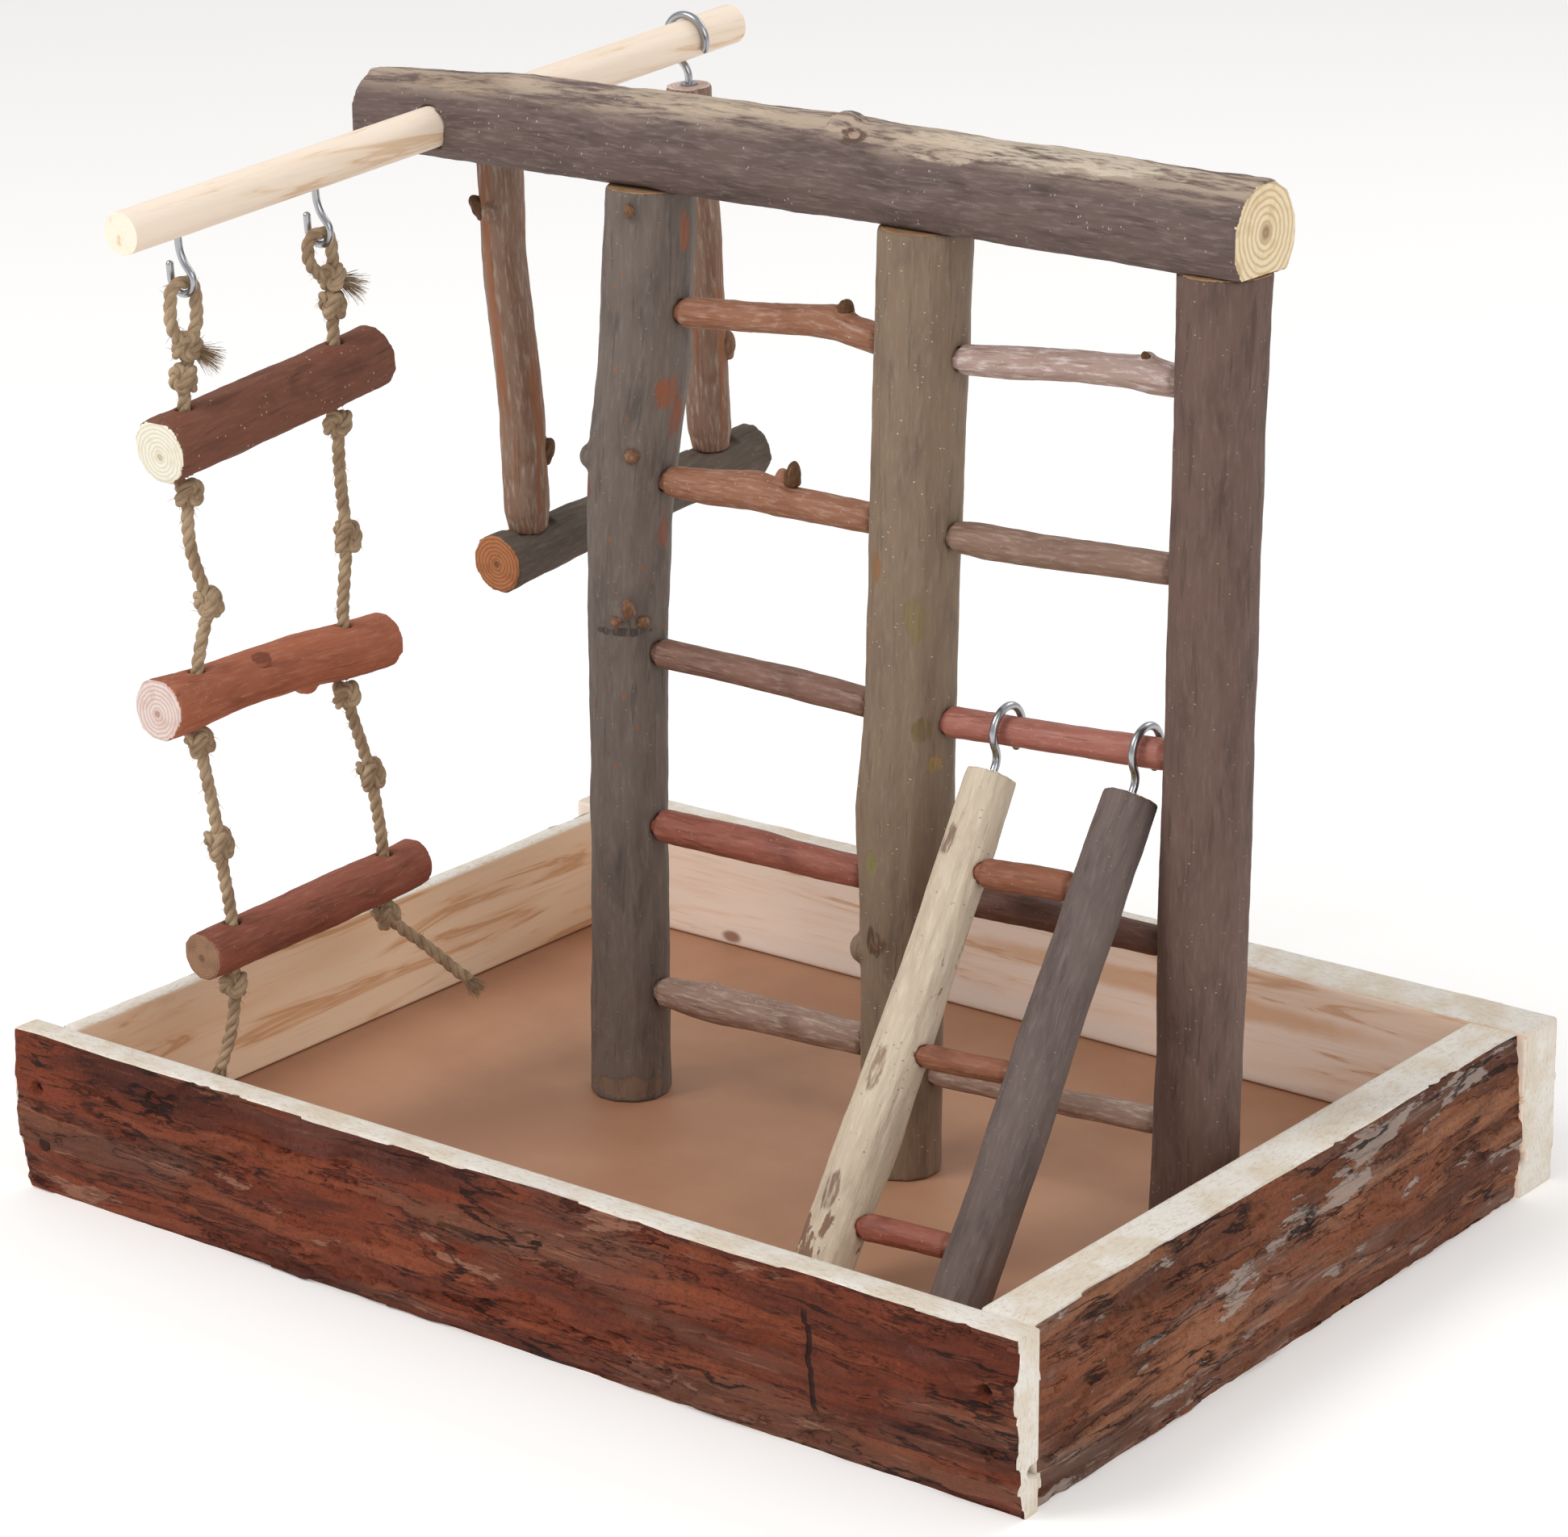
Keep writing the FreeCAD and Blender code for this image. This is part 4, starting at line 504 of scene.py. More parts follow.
LONG_SAWN = rough_sawn("long_sawn_edge", "X")
SIDE_SAWN = rough_sawn("side_sawn_edge", "Y")
END_SAWN = rough_sawn("sawn_board_end", "Z")
FRONT_LOG = log_bark("front_log_bark", "X", cracks_at=((0.1245, 0.012, 0.045, 0.10),))
BACK_LOG = log_bark("back_log_bark", "X")
SIDE_LOG = log_bark("side_log_bark", "Y", "#5c3526", "#96583a", "#b47a58", "#8d6e62", "#c0aea2",
                    "#86685a", 0.05)
HARDBOARD = pressed_board("hardboard_face")
STEEL = bright_steel("bright_steel")
DULL_STEEL = bright_steel("dull_nail_steel", "#4a3128", "#2e1e18", 0.55)
ROPE = plant_rope("plant_rope")

# ---------------------------------------------------------------- shaping tools


def alone(piece):
    """Select one piece and nothing else."""
    bpy.ops.object.select_all(action="DESELECT")
    piece.select_set(True)
    bpy.context.view_layer.objects.active = piece


def carry(piece, body, slot, *nodes):
    """Put a piece on its body, in place of its nodes. The slot is not used."""
    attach(piece, body)
    if nodes:
        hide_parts(*nodes)
    return piece


def fine_copy(name, node, grain, rounds):
    """A copy of a node with an even fine net of faces, its hard corners eased."""
    piece = bpy.data.objects[node].copy()
    piece.data = piece.data.copy()
    piece.name = name
    bpy.context.scene.collection.objects.link(piece)
    world = piece.matrix_world.copy()
    piece.parent = None
    piece.data.transform(world)
    piece.matrix_world = Matrix.Identity(4)
    alone(piece)
    bpy.ops.object.mode_set(mode="EDIT")
    bpy.ops.mesh.select_all(action="SELECT")
    bpy.ops.mesh.remove_doubles(threshold=0.00001)
    bpy.ops.object.mode_set(mode="OBJECT")
    if piece.data.has_custom_normals:
        bpy.ops.mesh.customdata_custom_splitnormals_clear()
    net = piece.modifiers.new("net", "REMESH")
    net.mode = "VOXEL"
    net.voxel_size = grain
    bpy.ops.object.modifier_apply(modifier="net")
    ease = piece.modifiers.new("ease", "SMOOTH")
    ease.factor = 0.5
    ease.iterations = rounds
    bpy.ops.object.modifier_apply(modifier="ease")
    piece.data.materials.clear()
    return piece


def middle_line(points, low, way, side, rise, steps, count):
    """The middle of a branch at even steps, from the places of its skin."""
    sums = [[0.0, 0.0, 0] for _ in range(count + 1)]
    for point in points:
        step = min(count, max(0, round((point.dot(way) - low) / steps)))
        sums[step][0] += point.dot(side)
        sums[step][1] += point.dot(rise)
        sums[step][2] += 1
    line = [(s[0] / max(1, s[2]), s[1] / max(1, s[2])) for s in sums]
    for _ in range(2):
        line = [((line[max(0, i - 1)][0] + line[i][0] + line[min(count, i + 1)][0]) / 3,
                 (line[max(0, i - 1)][1] + line[i][1] + line[min(count, i + 1)][1]) / 3)
                for i in range(count + 1)]
    return line


def branch(name, node, body, slot, skin, end, way, grain=0.0008, bumps=0.00035, ridges=0.0002,
           seed=0.0):
    """A natural stick in place of a node: eased, with bark relief, and sawn ends."""
    piece = fine_copy(name, node, grain, 4)
    mesh = piece.data
    way = Vector(way).normalized()
    side = way.cross(Vector((0, 0, 1))) if abs(way.z) < 0.9 else Vector((1, 0, 0))
    side = (side - way * side.dot(way)).normalized()
    rise = side.cross(way)
    points = [v.co.copy() for v in mesh.vertices]
    normals = [v.normal.copy() for v in mesh.vertices]
    reach = [p.dot(way) for p in points]
    low, high = min(reach), max(reach)
    count = max(4, round((high - low) / 0.006))
    steps = (high - low) / count
    line = middle_line(points, low, way, side, rise, steps, count)
    places, tips, moved = [], [], []
    for point, normal, far in zip(points, normals, reach):
        spot = (far - low) / steps
        i = min(count - 1, int(spot))
        share = spot - i
        across = point.dot(side) - (line[i][0] * (1 - share) + line[i + 1][0] * share)
        height = point.dot(rise) - (line[i][1] * (1 - share) + line[i + 1][1] * share)
        places += [across, height, far]
        tip = min(far - low, high - far)
        tips.append(tip)
        flat = min(1.0, max(0.0, 1.6 - 1.8 * abs(normal.dot(way)))) if tip < 0.004 else 1.0
        broad = noise.fractal(Vector((across * 120, height * 120, far * 42 + seed)), 0.9, 2.1, 4)
        long = noise.fractal(Vector((across * 520, height * 520, far * 60 + seed)), 0.8, 2.1, 3)
        push = (broad * bumps + long * ridges) * flat
        moved.append(point + normal * push)
    for vertex, point in zip(mesh.vertices, moved):
        vertex.co = point
    mesh.attributes.new("branch", "FLOAT_VECTOR", "POINT").data.foreach_set("vector", places)
    mesh.attributes.new("tip", "FLOAT", "POINT").data.foreach_set("value", tips)
    mesh.materials.append(skin)
    mesh.materials.append(end)
    for face in mesh.polygons:
        at = face.center.dot(way)
        face.material_index = int(min(at - low, high - at) < 0.003 and
                                  abs(face.normal.dot(way)) > 0.72)
        face.use_smooth = True
    return carry(piece, body, slot, node)


NAIL_HEAD = 0.0022  # half a nail head's diameter, in metres
BOARD_HIGH = 0.055  # height of the tray's boards, in metres


def split_board(name, node, way, out, skin, wood, top, end, seed):
    """A board split from a log: flaky bark outside, sawn faces inside and on top."""
    piece = fine_copy(name, node, 0.0012, 2)
    mesh = piece.data
    way, out = Vector(way), Vector(out)
    kinds = []
    nails_low, nails_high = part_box("board_nails")
    for face in mesh.polygons:
        at = face.center
        beside = min(abs(at.x - nails_low.x - NAIL_HEAD), abs(at.x - nails_high.x + NAIL_HEAD))
        above = min(abs(at.z - nails_low.z - NAIL_HEAD), abs(at.z - nails_high.z + NAIL_HEAD))
        in_hole = (abs(out.y) > 0.5 and at.dot(out) > nails_high.y - 0.0012 and
                   max(beside, above) < NAIL_HEAD + 0.001)
        kinds.append(3 if face.normal.z > 0.75 and not in_hole
                     else int(in_hole or face.normal.dot(out) > 0.45))
    low, high = min(v.co.dot(way) for v in mesh.vertices), max(v.co.dot(way) for v in mesh.vertices)
    moved = []
    for vertex in mesh.vertices:
        p, n = vertex.co, vertex.normal
        facing = min(1.0, max(0.0, (n.dot(out) - 0.35) / 0.4))
        at = Vector((p.dot(way) * 14 + seed, p.z * 42, p.dot(out) * 42))
        plates = noise.fractal(at, 0.75, 2.2, 5)
        step = noise.fractal(Vector((at.x * 0.55, at.y * 1.4, at.z + 9.0)), 0.8, 2.0, 4)
        layer = 0.0011 if step > 0.12 else 0.0
        split = abs(noise.noise(Vector((at.x * 0.5, at.y * 0.8 + plates * 0.5, seed))))
        gap = -0.0013 * max(0.0, 1 - split / 0.05)
        ledge = noise.fractal(Vector((at.x * 1.6, p.z * 190, at.z * 2 + seed)), 0.7, 2.1, 4)
        push = plates * 0.0009 + ledge * 0.0006 + layer + gap - 0.0005
        torn = noise.fractal(Vector((p.dot(way) * 60 + seed, 3.0, p.dot(out) * 90)), 0.8, 2.0, 4)
        edge = max(0.0, 1 - min(p.z, BOARD_HIGH - p.z) / 0.004) * facing
        moved.append(p + out * (push * facing) + n * (torn * 0.0005 * edge))
    for vertex, point in zip(mesh.vertices, moved):
        vertex.co = point
        vertex.co.z = max(0.0, vertex.co.z)
    for material in (wood, skin, end, top):
        mesh.materials.append(material)
    for face, kind in zip(mesh.polygons, kinds):
        at = face.center.dot(way)
        if abs(face.normal.dot(way)) > 0.8 and min(at - low, high - at) < 0.004:
            face.material_index = 2
        else:
            face.material_index = kind
        face.use_smooth = True
    return carry(piece, "stand", "bark_board", node)


def dress(node, material):
    """A better material on a node that keeps its own shape."""
    for holder in bpy.data.objects[node].material_slots:
        holder.material = material


def bud(name, body, slot, base, way, long, wide, skin, bend=0.0):
    """A closed bud with a pointed tip and overlapping scales, its foot in the bark."""
    way = Vector(way).normalized()
    bpy.ops.object.select_all(action="DESELECT")
    bpy.ops.mesh.primitive_uv_sphere_add(segments=28, ring_count=22, radius=1.0,
                                         location=(0, 0, 0))
    piece = bpy.context.object
    piece.name = name
    side = way.orthogonal().normalized()
    rise = way.cross(side)
    marks = []
    for vertex in piece.data.vertices:
        x, y, z = vertex.co
        s = (z + 1) / 2
        turn = math.atan2(y, x)
        taper = (1 - 0.20 * s ** 2) * (1 + 0.22 * math.exp(-((s - 0.16) / 0.1) ** 2))
        scale = 1 + 0.07 * math.sin(turn * 2 + s * 7) + 0.05 * math.sin(turn * 3 - s * 16)
        across = side * x * wide * taper * scale + rise * y * wide * taper * scale
        vertex.co = Vector(base) + across + way * (s * 1.05 - 0.14) * long + side * bend * s * s
        marks += [x * wide, y * wide, s * long]
    piece.data.attributes.new("branch", "FLOAT_VECTOR", "POINT").data.foreach_set("vector", marks)
    piece.data.materials.append(skin)
    for face in piece.data.polygons:
        face.use_smooth = True
    return carry(piece, body, slot)


# ---------------------------------------------------------------- ropes

THICK = 0.0040  # a rope's diameter, in metres


def tube(rings, sides, thick, places, tag):
    """Points and faces of a tube round a line of points, each with its own thickness."""
    points, faces, marks = [], [], []
    side = None
    for i, spot in enumerate(rings):
        ahead = (rings[min(i + 1, len(rings) - 1)] - rings[max(i - 1, 0)]).normalized()
        if side is None:
            side = ahead.orthogonal().normalized()
        side = (side - ahead * side.dot(ahead)).normalized()
        rise = ahead.cross(side)
        for k in range(sides):
            turn = 2 * math.pi * k / sides
            offset = side * math.cos(turn) * thick[i] + rise * math.sin(turn) * thick[i]
            points.append(spot + offset)
            marks += [math.cos(turn) * thick[i] + tag, math.sin(turn) * thick[i], places[i]]
    for i in range(len(rings) - 1):
        for k in range(sides):
            a, b = i * sides + k, i * sides + (k + 1) % sides
            faces.append((a, b, b + sides, a + sides))
    last = (len(rings) - 1) * sides
    faces.append(tuple(reversed(range(sides))))
    faces.append(tuple(last + k for k in range(sides)))
    return points, faces, marks


def woven(name, parts):
    """One mesh from several tubes."""
    points, faces, marks = [], [], []
    for some_points, some_faces, some_marks in parts:
        start = len(points)
        points += some_points
        faces += [tuple(start + i for i in face) for face in some_faces]
        marks += some_marks
    mesh = bpy.data.meshes.new(name)
    mesh.from_pydata(points, [], faces)
    mesh.attributes.new("branch", "FLOAT_VECTOR", "POINT").data.foreach_set("vector", marks)
    for face in mesh.polygons:
        face.use_smooth = True
    mesh.materials.append(ROPE)
    piece = bpy.data.objects.new(name, mesh)
    bpy.context.scene.collection.objects.link(piece)
    return piece


def line_of(route):
    """The smooth line of a rope's route, read from its spline."""
    curve = bpy.data.curves.new("route", "CURVE")
    curve.dimensions = "3D"
    curve.resolution_u = 14
    spline = curve.splines.new("NURBS")
    spline.points.add(len(route) - 1)
    for point, place in zip(spline.points, route):
        point.co = (*place, 1)
    spline.order_u = 3
    spline.use_endpoint_u = True
    holder = bpy.data.objects.new("route", curve)
    bpy.context.scene.collection.objects.link(holder)
    read = bpy.data.meshes.new_from_object(holder)
    line = [v.co.copy() for v in read.vertices]
    bpy.data.objects.remove(holder)
    bpy.data.curves.remove(curve)
    bpy.data.meshes.remove(read)
    return line


def strands(line, size, pitch, chance, hairs):
    """Three strands laid round a line, with loose hairs."""
    lengths = [0.0]
    for a, b in zip(line, line[1:]):
        lengths.append(lengths[-1] + (b - a).length)
    side, frames = None, []
    for i in range(len(line)):
        ahead = (line[min(i + 1, len(line) - 1)] - line[max(i - 1, 0)]).normalized()
        if side is None:
            side = ahead.orthogonal().normalized()
        side = (side - ahead * side.dot(ahead)).normalized()
        frames.append((ahead, side, ahead.cross(side)))
    parts = []
    for strand in range(3):
        rings, thick = [], []
        for i, spot in enumerate(line):
            ahead, side, rise = frames[i]
            turn = 2 * math.pi * (lengths[i] / pitch + strand / 3)
            wobble = 1 + 0.06 * noise.noise(Vector((lengths[i] * 500, strand * 7, size * 900)))
            rings.append(spot + (side * math.cos(turn) + rise * math.sin(turn)) * size * 0.245)
            thick.append(size * 0.27 * wobble)
        parts.append(tube(rings, 9, thick, lengths, strand * 0.02))
    for _ in range(hairs):
        i = chance.randrange(2, len(line) - 2)
        ahead, side, rise = frames[i]
        turn = chance.uniform(0, 2 * math.pi)
        out = side * math.cos(turn) + rise * math.sin(turn)
        lean = (ahead * chance.choice((-1, 1)) * chance.uniform(0.5, 1.6) + out).normalized()
        reach = chance.uniform(0.0012, 0.003)
        start = line[i] + out * size * 0.42
        sag = Vector((0, 0, -1)) * reach * 0.2
        hair = [start + lean * reach * s + sag * s * s for s in (0, 0.35, 0.7, 1)]
        parts.append(tube(hair, 3, [0.00009, 0.00008, 0.00006, 0.00002], [0, 0.001, 0.002, 0.003],
                          chance.random()))
    return parts


def even(line, step):
    """The same line with even steps."""
    kept = [line[0]]
    carried = 0.0
    for a, b in zip(line, line[1:]):
        long = (b - a).length
        if long < 1e-9:
            continue
        while carried + long >= step:
            share = (step - carried) / long
            a = a.lerp(b, share)
            long = (b - a).length
            kept.append(a)
            carried = 0.0
            if long < 1e-9:
                break
        carried += long
    if (kept[-1] - line[-1]).length > step * 0.3:
        kept.append(line[-1])
    return kept


def knot(name, at, ahead, reach, chance, stretch=1.0, turned=0.0):
    """An overhand knot pulled tight round the rope's own line."""
    ahead = ahead.normalized()
    side = ahead.orthogonal().normalized()
    rise = ahead.cross(side)
    loop = []
    for i in range(97):
        t = 2 * math.pi * i / 96
        x = (math.sin(t) + 2 * math.sin(2 * t)) / 3
        y = (math.cos(t) - 2 * math.cos(2 * t)) / 3
        z = -math.sin(3 * t)
        c, s = math.cos(turned), math.sin(turned)
        loop.append(at + side * (x * c - y * s) * reach + rise * (x * s + y * c) * reach +
                    ahead * z * 0.0026 * stretch)
    return woven(name, strands(loop, THICK, 0.0105, chance, hairs=26))


def tuft(name, line, chance, count, spread, thick=0.00013):
    """Frayed fibres that fan out from a rope's end."""
    parts = []
    start = line[0]
    ahead = (line[-1] - line[0]).normalized()
    long = sum((b - a).length for a, b in zip(line, line[1:]))
    side = ahead.orthogonal().normalized()
    rise = ahead.cross(side)
    for _ in range(count):
        turn, out = chance.uniform(0, 2 * math.pi), chance.uniform(0, 1) ** 0.6
        push = side * math.cos(turn) + rise * math.sin(turn)
        reach = long * chance.uniform(0.55, 1.12)
        twist = side * chance.uniform(-1, 1) + rise * chance.uniform(-1, 1)
        fibre, sizes, places = [], [], []
        for k in range(7):
            s = k / 6
            fibre.append(start + ahead * reach * s + push * out * (0.0011 + spread * s ** 1.4) +
                         twist * 0.0012 * s * s + Vector((0, 0, -1)) * 0.0010 * s * s)
            sizes.append(thick * (1.25 - 0.9 * s))
            places.append(reach * s)
        parts.append(tube(fibre, 4, sizes, places, chance.random()))
    return woven(name, parts)

# ---------------------------------------------------------------- the stand

split_board("front_board_bark", "front_board", (1, 0, 0), (0, -1, 0), FRONT_LOG, LONG_PINE,
            LONG_SAWN, END_SAWN, 3.1)
split_board("back_board_bark", "back_board", (1, 0, 0), (0, 1, 0), BACK_LOG, LONG_PINE,
            LONG_SAWN, END_SAWN, 8.4)
split_board("left_board_bark", "left_board", (0, 1, 0), (-1, 0, 0), SIDE_LOG, SIDE_PINE,
            SIDE_SAWN, END_SAWN, 5.7)
split_board("right_board_bark", "right_board", (0, 1, 0), (1, 0, 0), SIDE_LOG, SIDE_PINE,
            SIDE_SAWN, END_SAWN, 1.9)

branch("left_post_branch", "left_post", "stand", "grey_bark", BARKS["grey_post"],
       ENDS["brown"], (0, 0, 1), 0.0009, 0.0004, 0.00015, 1.0)
branch("middle_post_branch", "middle_post", "stand", "olive_bark", BARKS["olive_post"],
       ENDS["brown"], (0, 0, 1), 0.0009, 0.0003, 0.00012, 2.0)
branch("right_post_branch", "right_post", "stand", "purple_bark", BARKS["purple_post"],
       ENDS["brown"], (0, 0, 1), 0.0009, 0.0003, 0.00012, 3.0)
branch("top_beam_branch", "top_beam", "stand", "beam_bark", BARKS["beam"], ENDS["beam"],
       (1, 0, 0), 0.0009, 0.0005, 0.0002, 4.0)

RUNGS = (("left_rung_1", "orange_branch", "rung_orange"),
         ("left_rung_2", "orange_branch", "rung_orange"),
         ("left_rung_3", "red_branch", "rung_dark"),
         ("left_rung_4", "red_branch", "rung_red"),
         ("left_rung_5", "silver_branch", "rung_silver"),
         ("right_rung_1", "silver_branch", "rung_pink"),
         ("right_rung_2", "brown_branch", "rung_brown"),
         ("right_rung_3", "red_branch", "rung_glossy_lit"),
         ("right_rung_4", "brown_branch", "rung_shade"),
         ("right_rung_5", "silver_branch", "rung_silver"))
for number, (node, slot, skin) in enumerate(RUNGS):
    branch(node + "_branch", node, "stand", slot, BARKS[skin], ENDS["brown"], (1, 0, 0),
           0.0007, 0.0003, 0.00015, 10.0 + number * 3)

for name, body, slot, place, way, long, wide, skin in (
        ("left_post_top_bud", "stand", "grey_bark", (-50.3, -8.6, 304.4), (0.1, -0.6, 0.8),
         4.2, 1.8, "pale_bud"),
        ("left_post_middle_bud", "stand", "grey_bark", (-52.4, -6.8, 228.6), (0.4, -0.8, 0.5),
         3.6, 2.4, "pale_bud"),
        ("left_post_low_bud", "stand", "grey_bark", (-55.2, -6.2, 178.2), (0.25, -0.5, 0.9),
         7.6, 2.1, "pale_bud"),
        ("left_post_scar_left", "stand", "grey_bark", (-58.2, -8.1, 175.6), (-0.2, -0.8, 0.5),
         3.0, 2.0, "pale_bud"),
        ("left_post_scar_right", "stand", "grey_bark", (-53.7, -1.8, 175.0), (0.8, -0.5, 0.3),
         3.0, 2.0, "pale_bud"),
        ("left_rung_2_bud", "stand", "orange_branch", (0.2, 4.2, 226.0), (0.15, 0.0, 1.0),
         8.4, 2.6, "bud"),
        ("left_rung_1_stub", "stand", "orange_branch", (20.4, 4.2, 281.8), (0.3, -0.2, 1.0),
         4.4, 2.6, "bud"),
        ("right_rung_1_bud", "stand", "silver_branch", (127.0, 3.4, 281.8), (-0.4, -0.2, 1.0),
         3.6, 1.6, "bud")):
    bud(name, body, slot, [c / 1000 for c in place], way, long / 1000, wide / 1000, BARKS[skin])

# ---------------------------------------------------------------- the leaning ladder

branch("ladder_rail_left_branch", "ladder_rail_left", "leaning_ladder", "pale_branch",
       BARKS["pale_rail"], ENDS["yellow"], (-0.002, 0.58, 0.815), 0.0008, 0.0004, 0.0002, 50.0)
branch("ladder_rail_right_branch", "ladder_rail_right", "leaning_ladder", "purple_bark",
       BARKS["dark_rail"], ENDS["yellow"], (-0.002, 0.58, 0.815), 0.0008, 0.0004, 0.0002, 53.0)
for number, (slot, skin) in enumerate((("silver_branch", "rung_rust"),
                                       ("brown_branch", "rung_rust"),
                                       ("red_branch", "rung_red"))):
    node = "ladder_rung_%d" % (number + 1)
    branch(node + "_branch", node, "leaning_ladder", slot, BARKS[skin], ENDS["brown"],
           (1, 0, 0), 0.0006, 0.0003, 0.00012, 60.0 + number * 3)

# ---------------------------------------------------------------- the swing

branch("swing_arm_front_branch", "swing_arm_front", "swing", "arm_bark", BARKS["arm"],
       ENDS["pink"], (0, -0.08, 1), 0.0007, 0.0003, 0.0002, 70.0)
branch("swing_arm_rear_branch", "swing_arm_rear", "swing", "arm_bark", BARKS["arm"],
       ENDS["pink"], (0, -0.08, 1), 0.0007, 0.0003, 0.0002, 73.0)
branch("swing_perch_branch", "swing_perch", "swing", "perch_bark", BARKS["perch"],
       ENDS["rust"], (0, 0.997, 0.0755), 0.0008, 0.0004, 0.0002, 76.0)

for name, place, way, long, wide, skin in (
        ("swing_arm_front_high_bud", (-133.6, 21.6, 288.8), (-0.50, -0.36, 0.78), 8.6, 3.0, "bud"),
        ("swing_arm_front_low_bud", (-127.4, 37.2, 206.8), (0.40, 0.30, 0.86), 9.4, 3.4, "bud"),
        ("swing_arm_rear_bud", (-126.6, 130.6, 223.5), (0.28, 0.22, 0.93), 10.0, 4.2, "pale_bud")):
    bud(name, "swing", "arm_bark", [c / 1000 for c in place], way, long / 1000, wide / 1000,
        BARKS[skin])

# ---------------------------------------------------------------- the rope ladder

ROPE_RUNGS = (("rope_rung_1", "rope_ladder_top", "brown_branch", "rope_brown", "white", 0.28),
              ("rope_rung_2", "rope_ladder_middle", "orange_branch", "rope_orange", "pink", 0.12),
              ("rope_rung_3", "rope_ladder_bottom", "red_branch", "rope_red", "ringed", 0.10))
for number, (node, body, slot, skin, end, rise) in enumerate(ROPE_RUNGS):
    branch(node + "_branch", node, body, slot, BARKS[skin], ENDS[end], (0, 1, rise),
           0.0008, 0.0004, 0.0002, 80.0 + number * 3)

for node, material in (("cross_dowel", DOWEL_PINE), ("beam_pins", DOWEL_PINE),
                       ("floor_panel", HARDBOARD), ("board_nails", DULL_STEEL),
                       ("post_screws", STEEL), ("swing_screws", STEEL),
                       ("rope_hook_front", STEEL), ("rope_hook_back", STEEL),
                       ("swing_hook_front", STEEL), ("swing_hook_rear", STEEL),
                       ("ladder_hook_left", STEEL), ("ladder_hook_right", STEEL)):
    dress(node, material)

# The routes repeat the source's, across from the ladder's own plane.
PLANE = -0.130
ROUTES = {
    "rope_front_1": ((0, -119.9, 235.177), (-.2, -119.7, 246), (0, -119.9, 256),
                     (.1, -118.6, 265), (0, -116.6, 273.2), (-.3, -112.451, 279.453),
                     (0, -112.751, 286.053), (0, -113.351, 292.853), (0, -122.851, 292.853),
                     (0, -123.651, 286.053), (0, -123.7, 280), (0, -120.2, 275.4)),
    "rope_back_1": ((0, -54, 242.894), (.2, -53.8, 249), (0, -54.2, 258.5),
                    (-.2, -54.5, 267.5), (0, -54.4, 275.4), (0, -53.4, 282.9),
                    (0, -53.819, 290.515), (0, -54.419, 297.315), (0, -63.919, 297.315),
                    (0, -64.719, 290.515), (0, -61.8, 286), (0, -57.6, 283.6)),
    "rope_front_2": ((0, -119.9, 229.977), (-.8, -120.4, 217), (.4, -117.5, 204),
                     (1, -113.6, 194.8), (0, -116.8, 184), (.1, -119.8, 174),
                     (-.25, -119.6, 165.4), (0, -119.8, 157.37)),
    "rope_back_2": ((0, -54, 237.694), (.4, -54.6, 225), (-.4, -52.6, 212), (0, -51.6, 201),
                    (.2, -53.4, 190), (0, -54.8, 179), (-.2, -54.6, 167.4), (0, -54.8, 155.97)),
    "rope_front_3": ((0, -119.8, 152.17), (-.4, -117.2, 141), (.3, -115.2, 129),
                     (0, -113.2, 118), (-.3, -111.6, 107), (0, -109.6, 96), (.2, -109.4, 87),
                     (0, -109.3, 79), (0, -109.3, 71.33), (.1, -109.9, 64.5),
                     (0, -111.2, 57.4), (-.2, -113.9, 51), (0, -117.3, 45.6)),
    "rope_back_3": ((0, -54.8, 150.77), (.2, -51.8, 141.5), (-.2, -47.8, 132),
                    (0, -44.6, 122), (.2, -43, 112), (0, -40.8, 102), (-.2, -39.8, 92.5),
                    (.1, -40, 82.8), (.1, -39.8, 73.28), (2.6, -34.6, 67.3),
                    (7.6, -29.2, 61.5), (13.2, -25.2, 55), (18.6, -21.2, 49.5))}
BODIES = {"1": "rope_ladder_top", "2": "rope_ladder_middle", "3": "rope_ladder_bottom"}


def spot(row):
    return Vector((PLANE + row[0] / 1000, row[1] / 1000, row[2] / 1000))


# Each rope's knots: place, spread of the knot, length of the knot, turn
KNOTS = {
    "rope_front_1": (((0, -119.0, 264.4), 0.0029, 1.0, 0.3),
                     ((0, -117.6, 273.6), 0.0029, 1.0, 1.3)),
    "rope_back_1": (((0, -54.4, 274.6), 0.0028, 1.0, 2.0), ((0, -54.0, 283.2), 0.0028, 0.9, 0.8)),
    "rope_front_2": (((0, -119.9, 229.977), 0.0031, 0.9, 0.5),
                     ((1, -113.9, 194.8), 0.0030, 1.2, 1.9)),
    "rope_back_2": (((0, -54, 237.694), 0.0031, 0.9, 1.1), ((0, -51.9, 201), 0.0030, 1.2, 2.6)),
    "rope_front_3": (((0, -119.8, 152.17), 0.0031, 0.9, 2.2), ((0, -113.4, 118), 0.0030, 1.2, 0.1),
                     ((0, -109.3, 71.33), 0.0031, 0.9, 1.5)),
    "rope_back_3": (((0, -54.8, 150.77), 0.0031, 0.9, 0.9), ((0, -44.8, 122), 0.0030, 1.2, 2.4),
                    ((0, -39.8, 73.28), 0.0031, 0.9, 0.2))}
TUFTS = {"rope_front_1": ((0, -117, 273.2), (3.5, -114.5, 272), (7.6, -111.0, 270.0)),
         "rope_back_1": ((0, -53.4, 282.7), (2.2, -50.4, 281.8), (6.2, -46.8, 279.6))}
chance = random.Random(41)
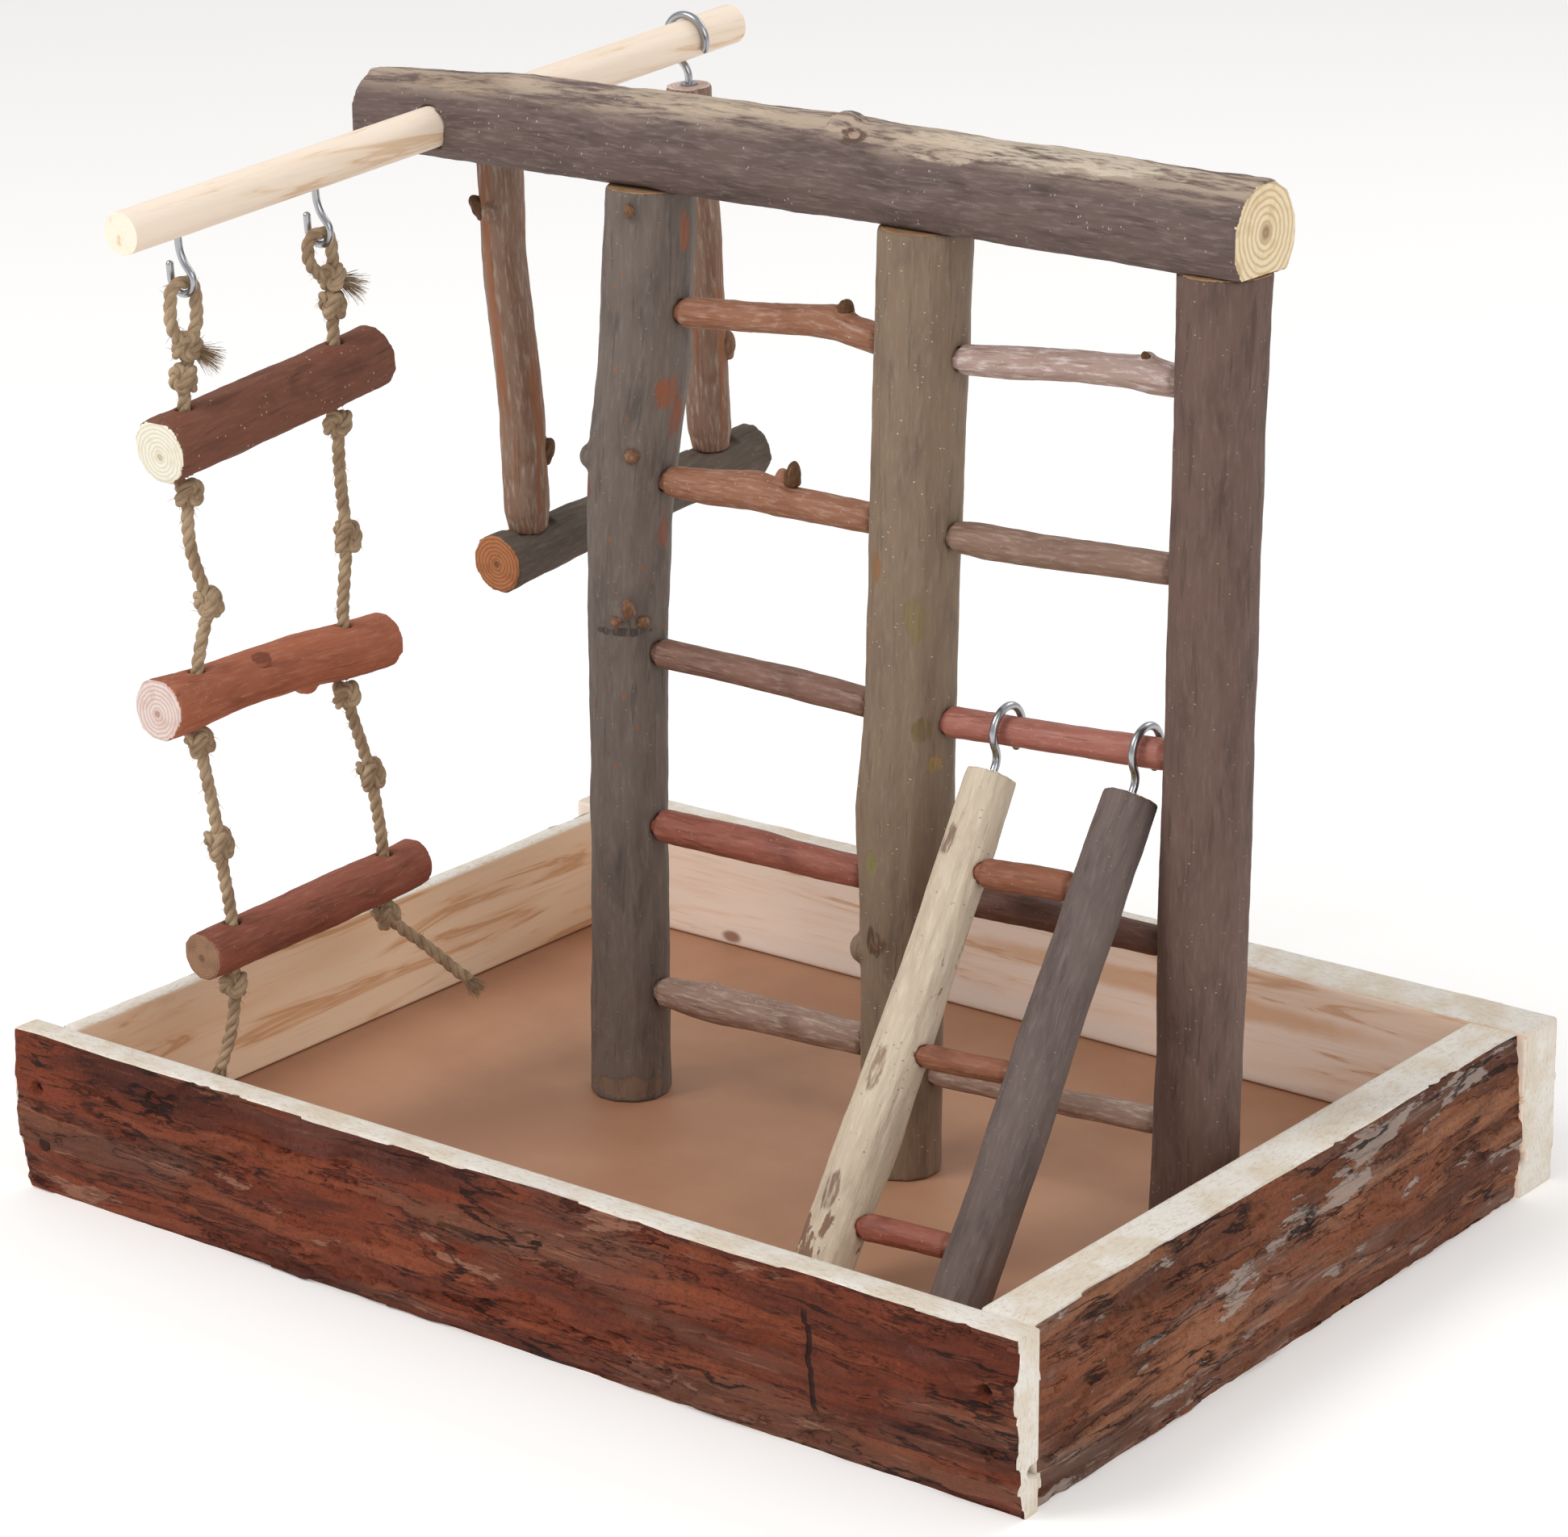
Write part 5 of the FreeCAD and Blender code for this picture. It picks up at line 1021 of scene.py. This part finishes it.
for rope, rows in ROUTES.items():
    body = BODIES[rope[-1]]
    route = line_of([spot(row) for row in rows])
    line = even(route, 0.0007)
    cord = woven(rope + "_strands", strands(line, THICK, 0.0115, chance, hairs=46))
    pieces = []
    for count, (row, reach, stretch, turned) in enumerate(KNOTS[rope]):
        at = spot(row)
        near = min(range(len(line)), key=lambda i: (line[i] - at).length)
        ahead = line[min(near + 3, len(line) - 1)] - line[max(near - 3, 0)]
        pieces.append(knot("%s_knot_%d" % (rope, count + 1), at, ahead, reach, chance, stretch,
                           turned))
    if rope in TUFTS:
        pieces.append(tuft(rope + "_tuft", [spot(row) for row in TUFTS[rope]], chance, 150, 0.0036))
    elif rope.endswith("3"):
        tail = line[-5]
        pieces.append(tuft(rope + "_tuft", [tail, line[-1] + (line[-1] - line[-8]).normalized()
                                            * 0.0045], chance, 150, 0.0022))
    for piece in pieces:
        carry(piece, body, "rope")
    carry(cord, body, "rope", rope)
    tuple(spot(rows[0]))

# ---------------------------------------------------------------- floor and light

bpy.ops.mesh.primitive_plane_add(size=14, location=(0, 0, 0))
floor = bpy.context.object
floor.name = "studio_floor"
pale = Finish("pale_floor")
grain = pale.noise(pale.in_object(), 3, 2)
shade = pale.mix(grain * 0.2, tone("#f6f5f3"), tone("#f2f1ef"))
pale.surface(shade, 0.9)
pale.tree.links.new(shade.socket, pale.shader.inputs["Emission Color"])
pale.shader.inputs["Emission Strength"].default_value = 0.21
floor.data.materials.append(pale.material)

world = bpy.data.worlds.new("studio")
bpy.context.scene.world = world
world.use_nodes = True
world.node_tree.nodes["Background"].inputs["Color"].default_value = (1, 1, 1, 1)
world.node_tree.nodes["Background"].inputs["Strength"].default_value = 0.62


def lamp(name, place, aim, size, power):
    bpy.ops.object.light_add(type="AREA", location=place)
    light = bpy.context.object
    light.name = name
    light.data.shape = "DISK"
    light.data.size = size
    light.data.energy = power
    way = Vector(aim) - Vector(place)
    turn = way.to_track_quat("-Z", "Y").to_matrix().to_4x4()
    light.matrix_world = Matrix.Translation(place) @ turn


lamp("key", (-0.9, -1.5, 1.9), (0, 0, 0.15), 1.1, 26)
lamp("fill", (1.9, -0.9, 1.1), (0, 0, 0.15), 1.4, 9)
lamp("rim", (0.5, 1.8, 1.6), (0, 0, 0.2), 1.2, 8)
bpy.context.scene.view_settings.view_transform = "Standard"
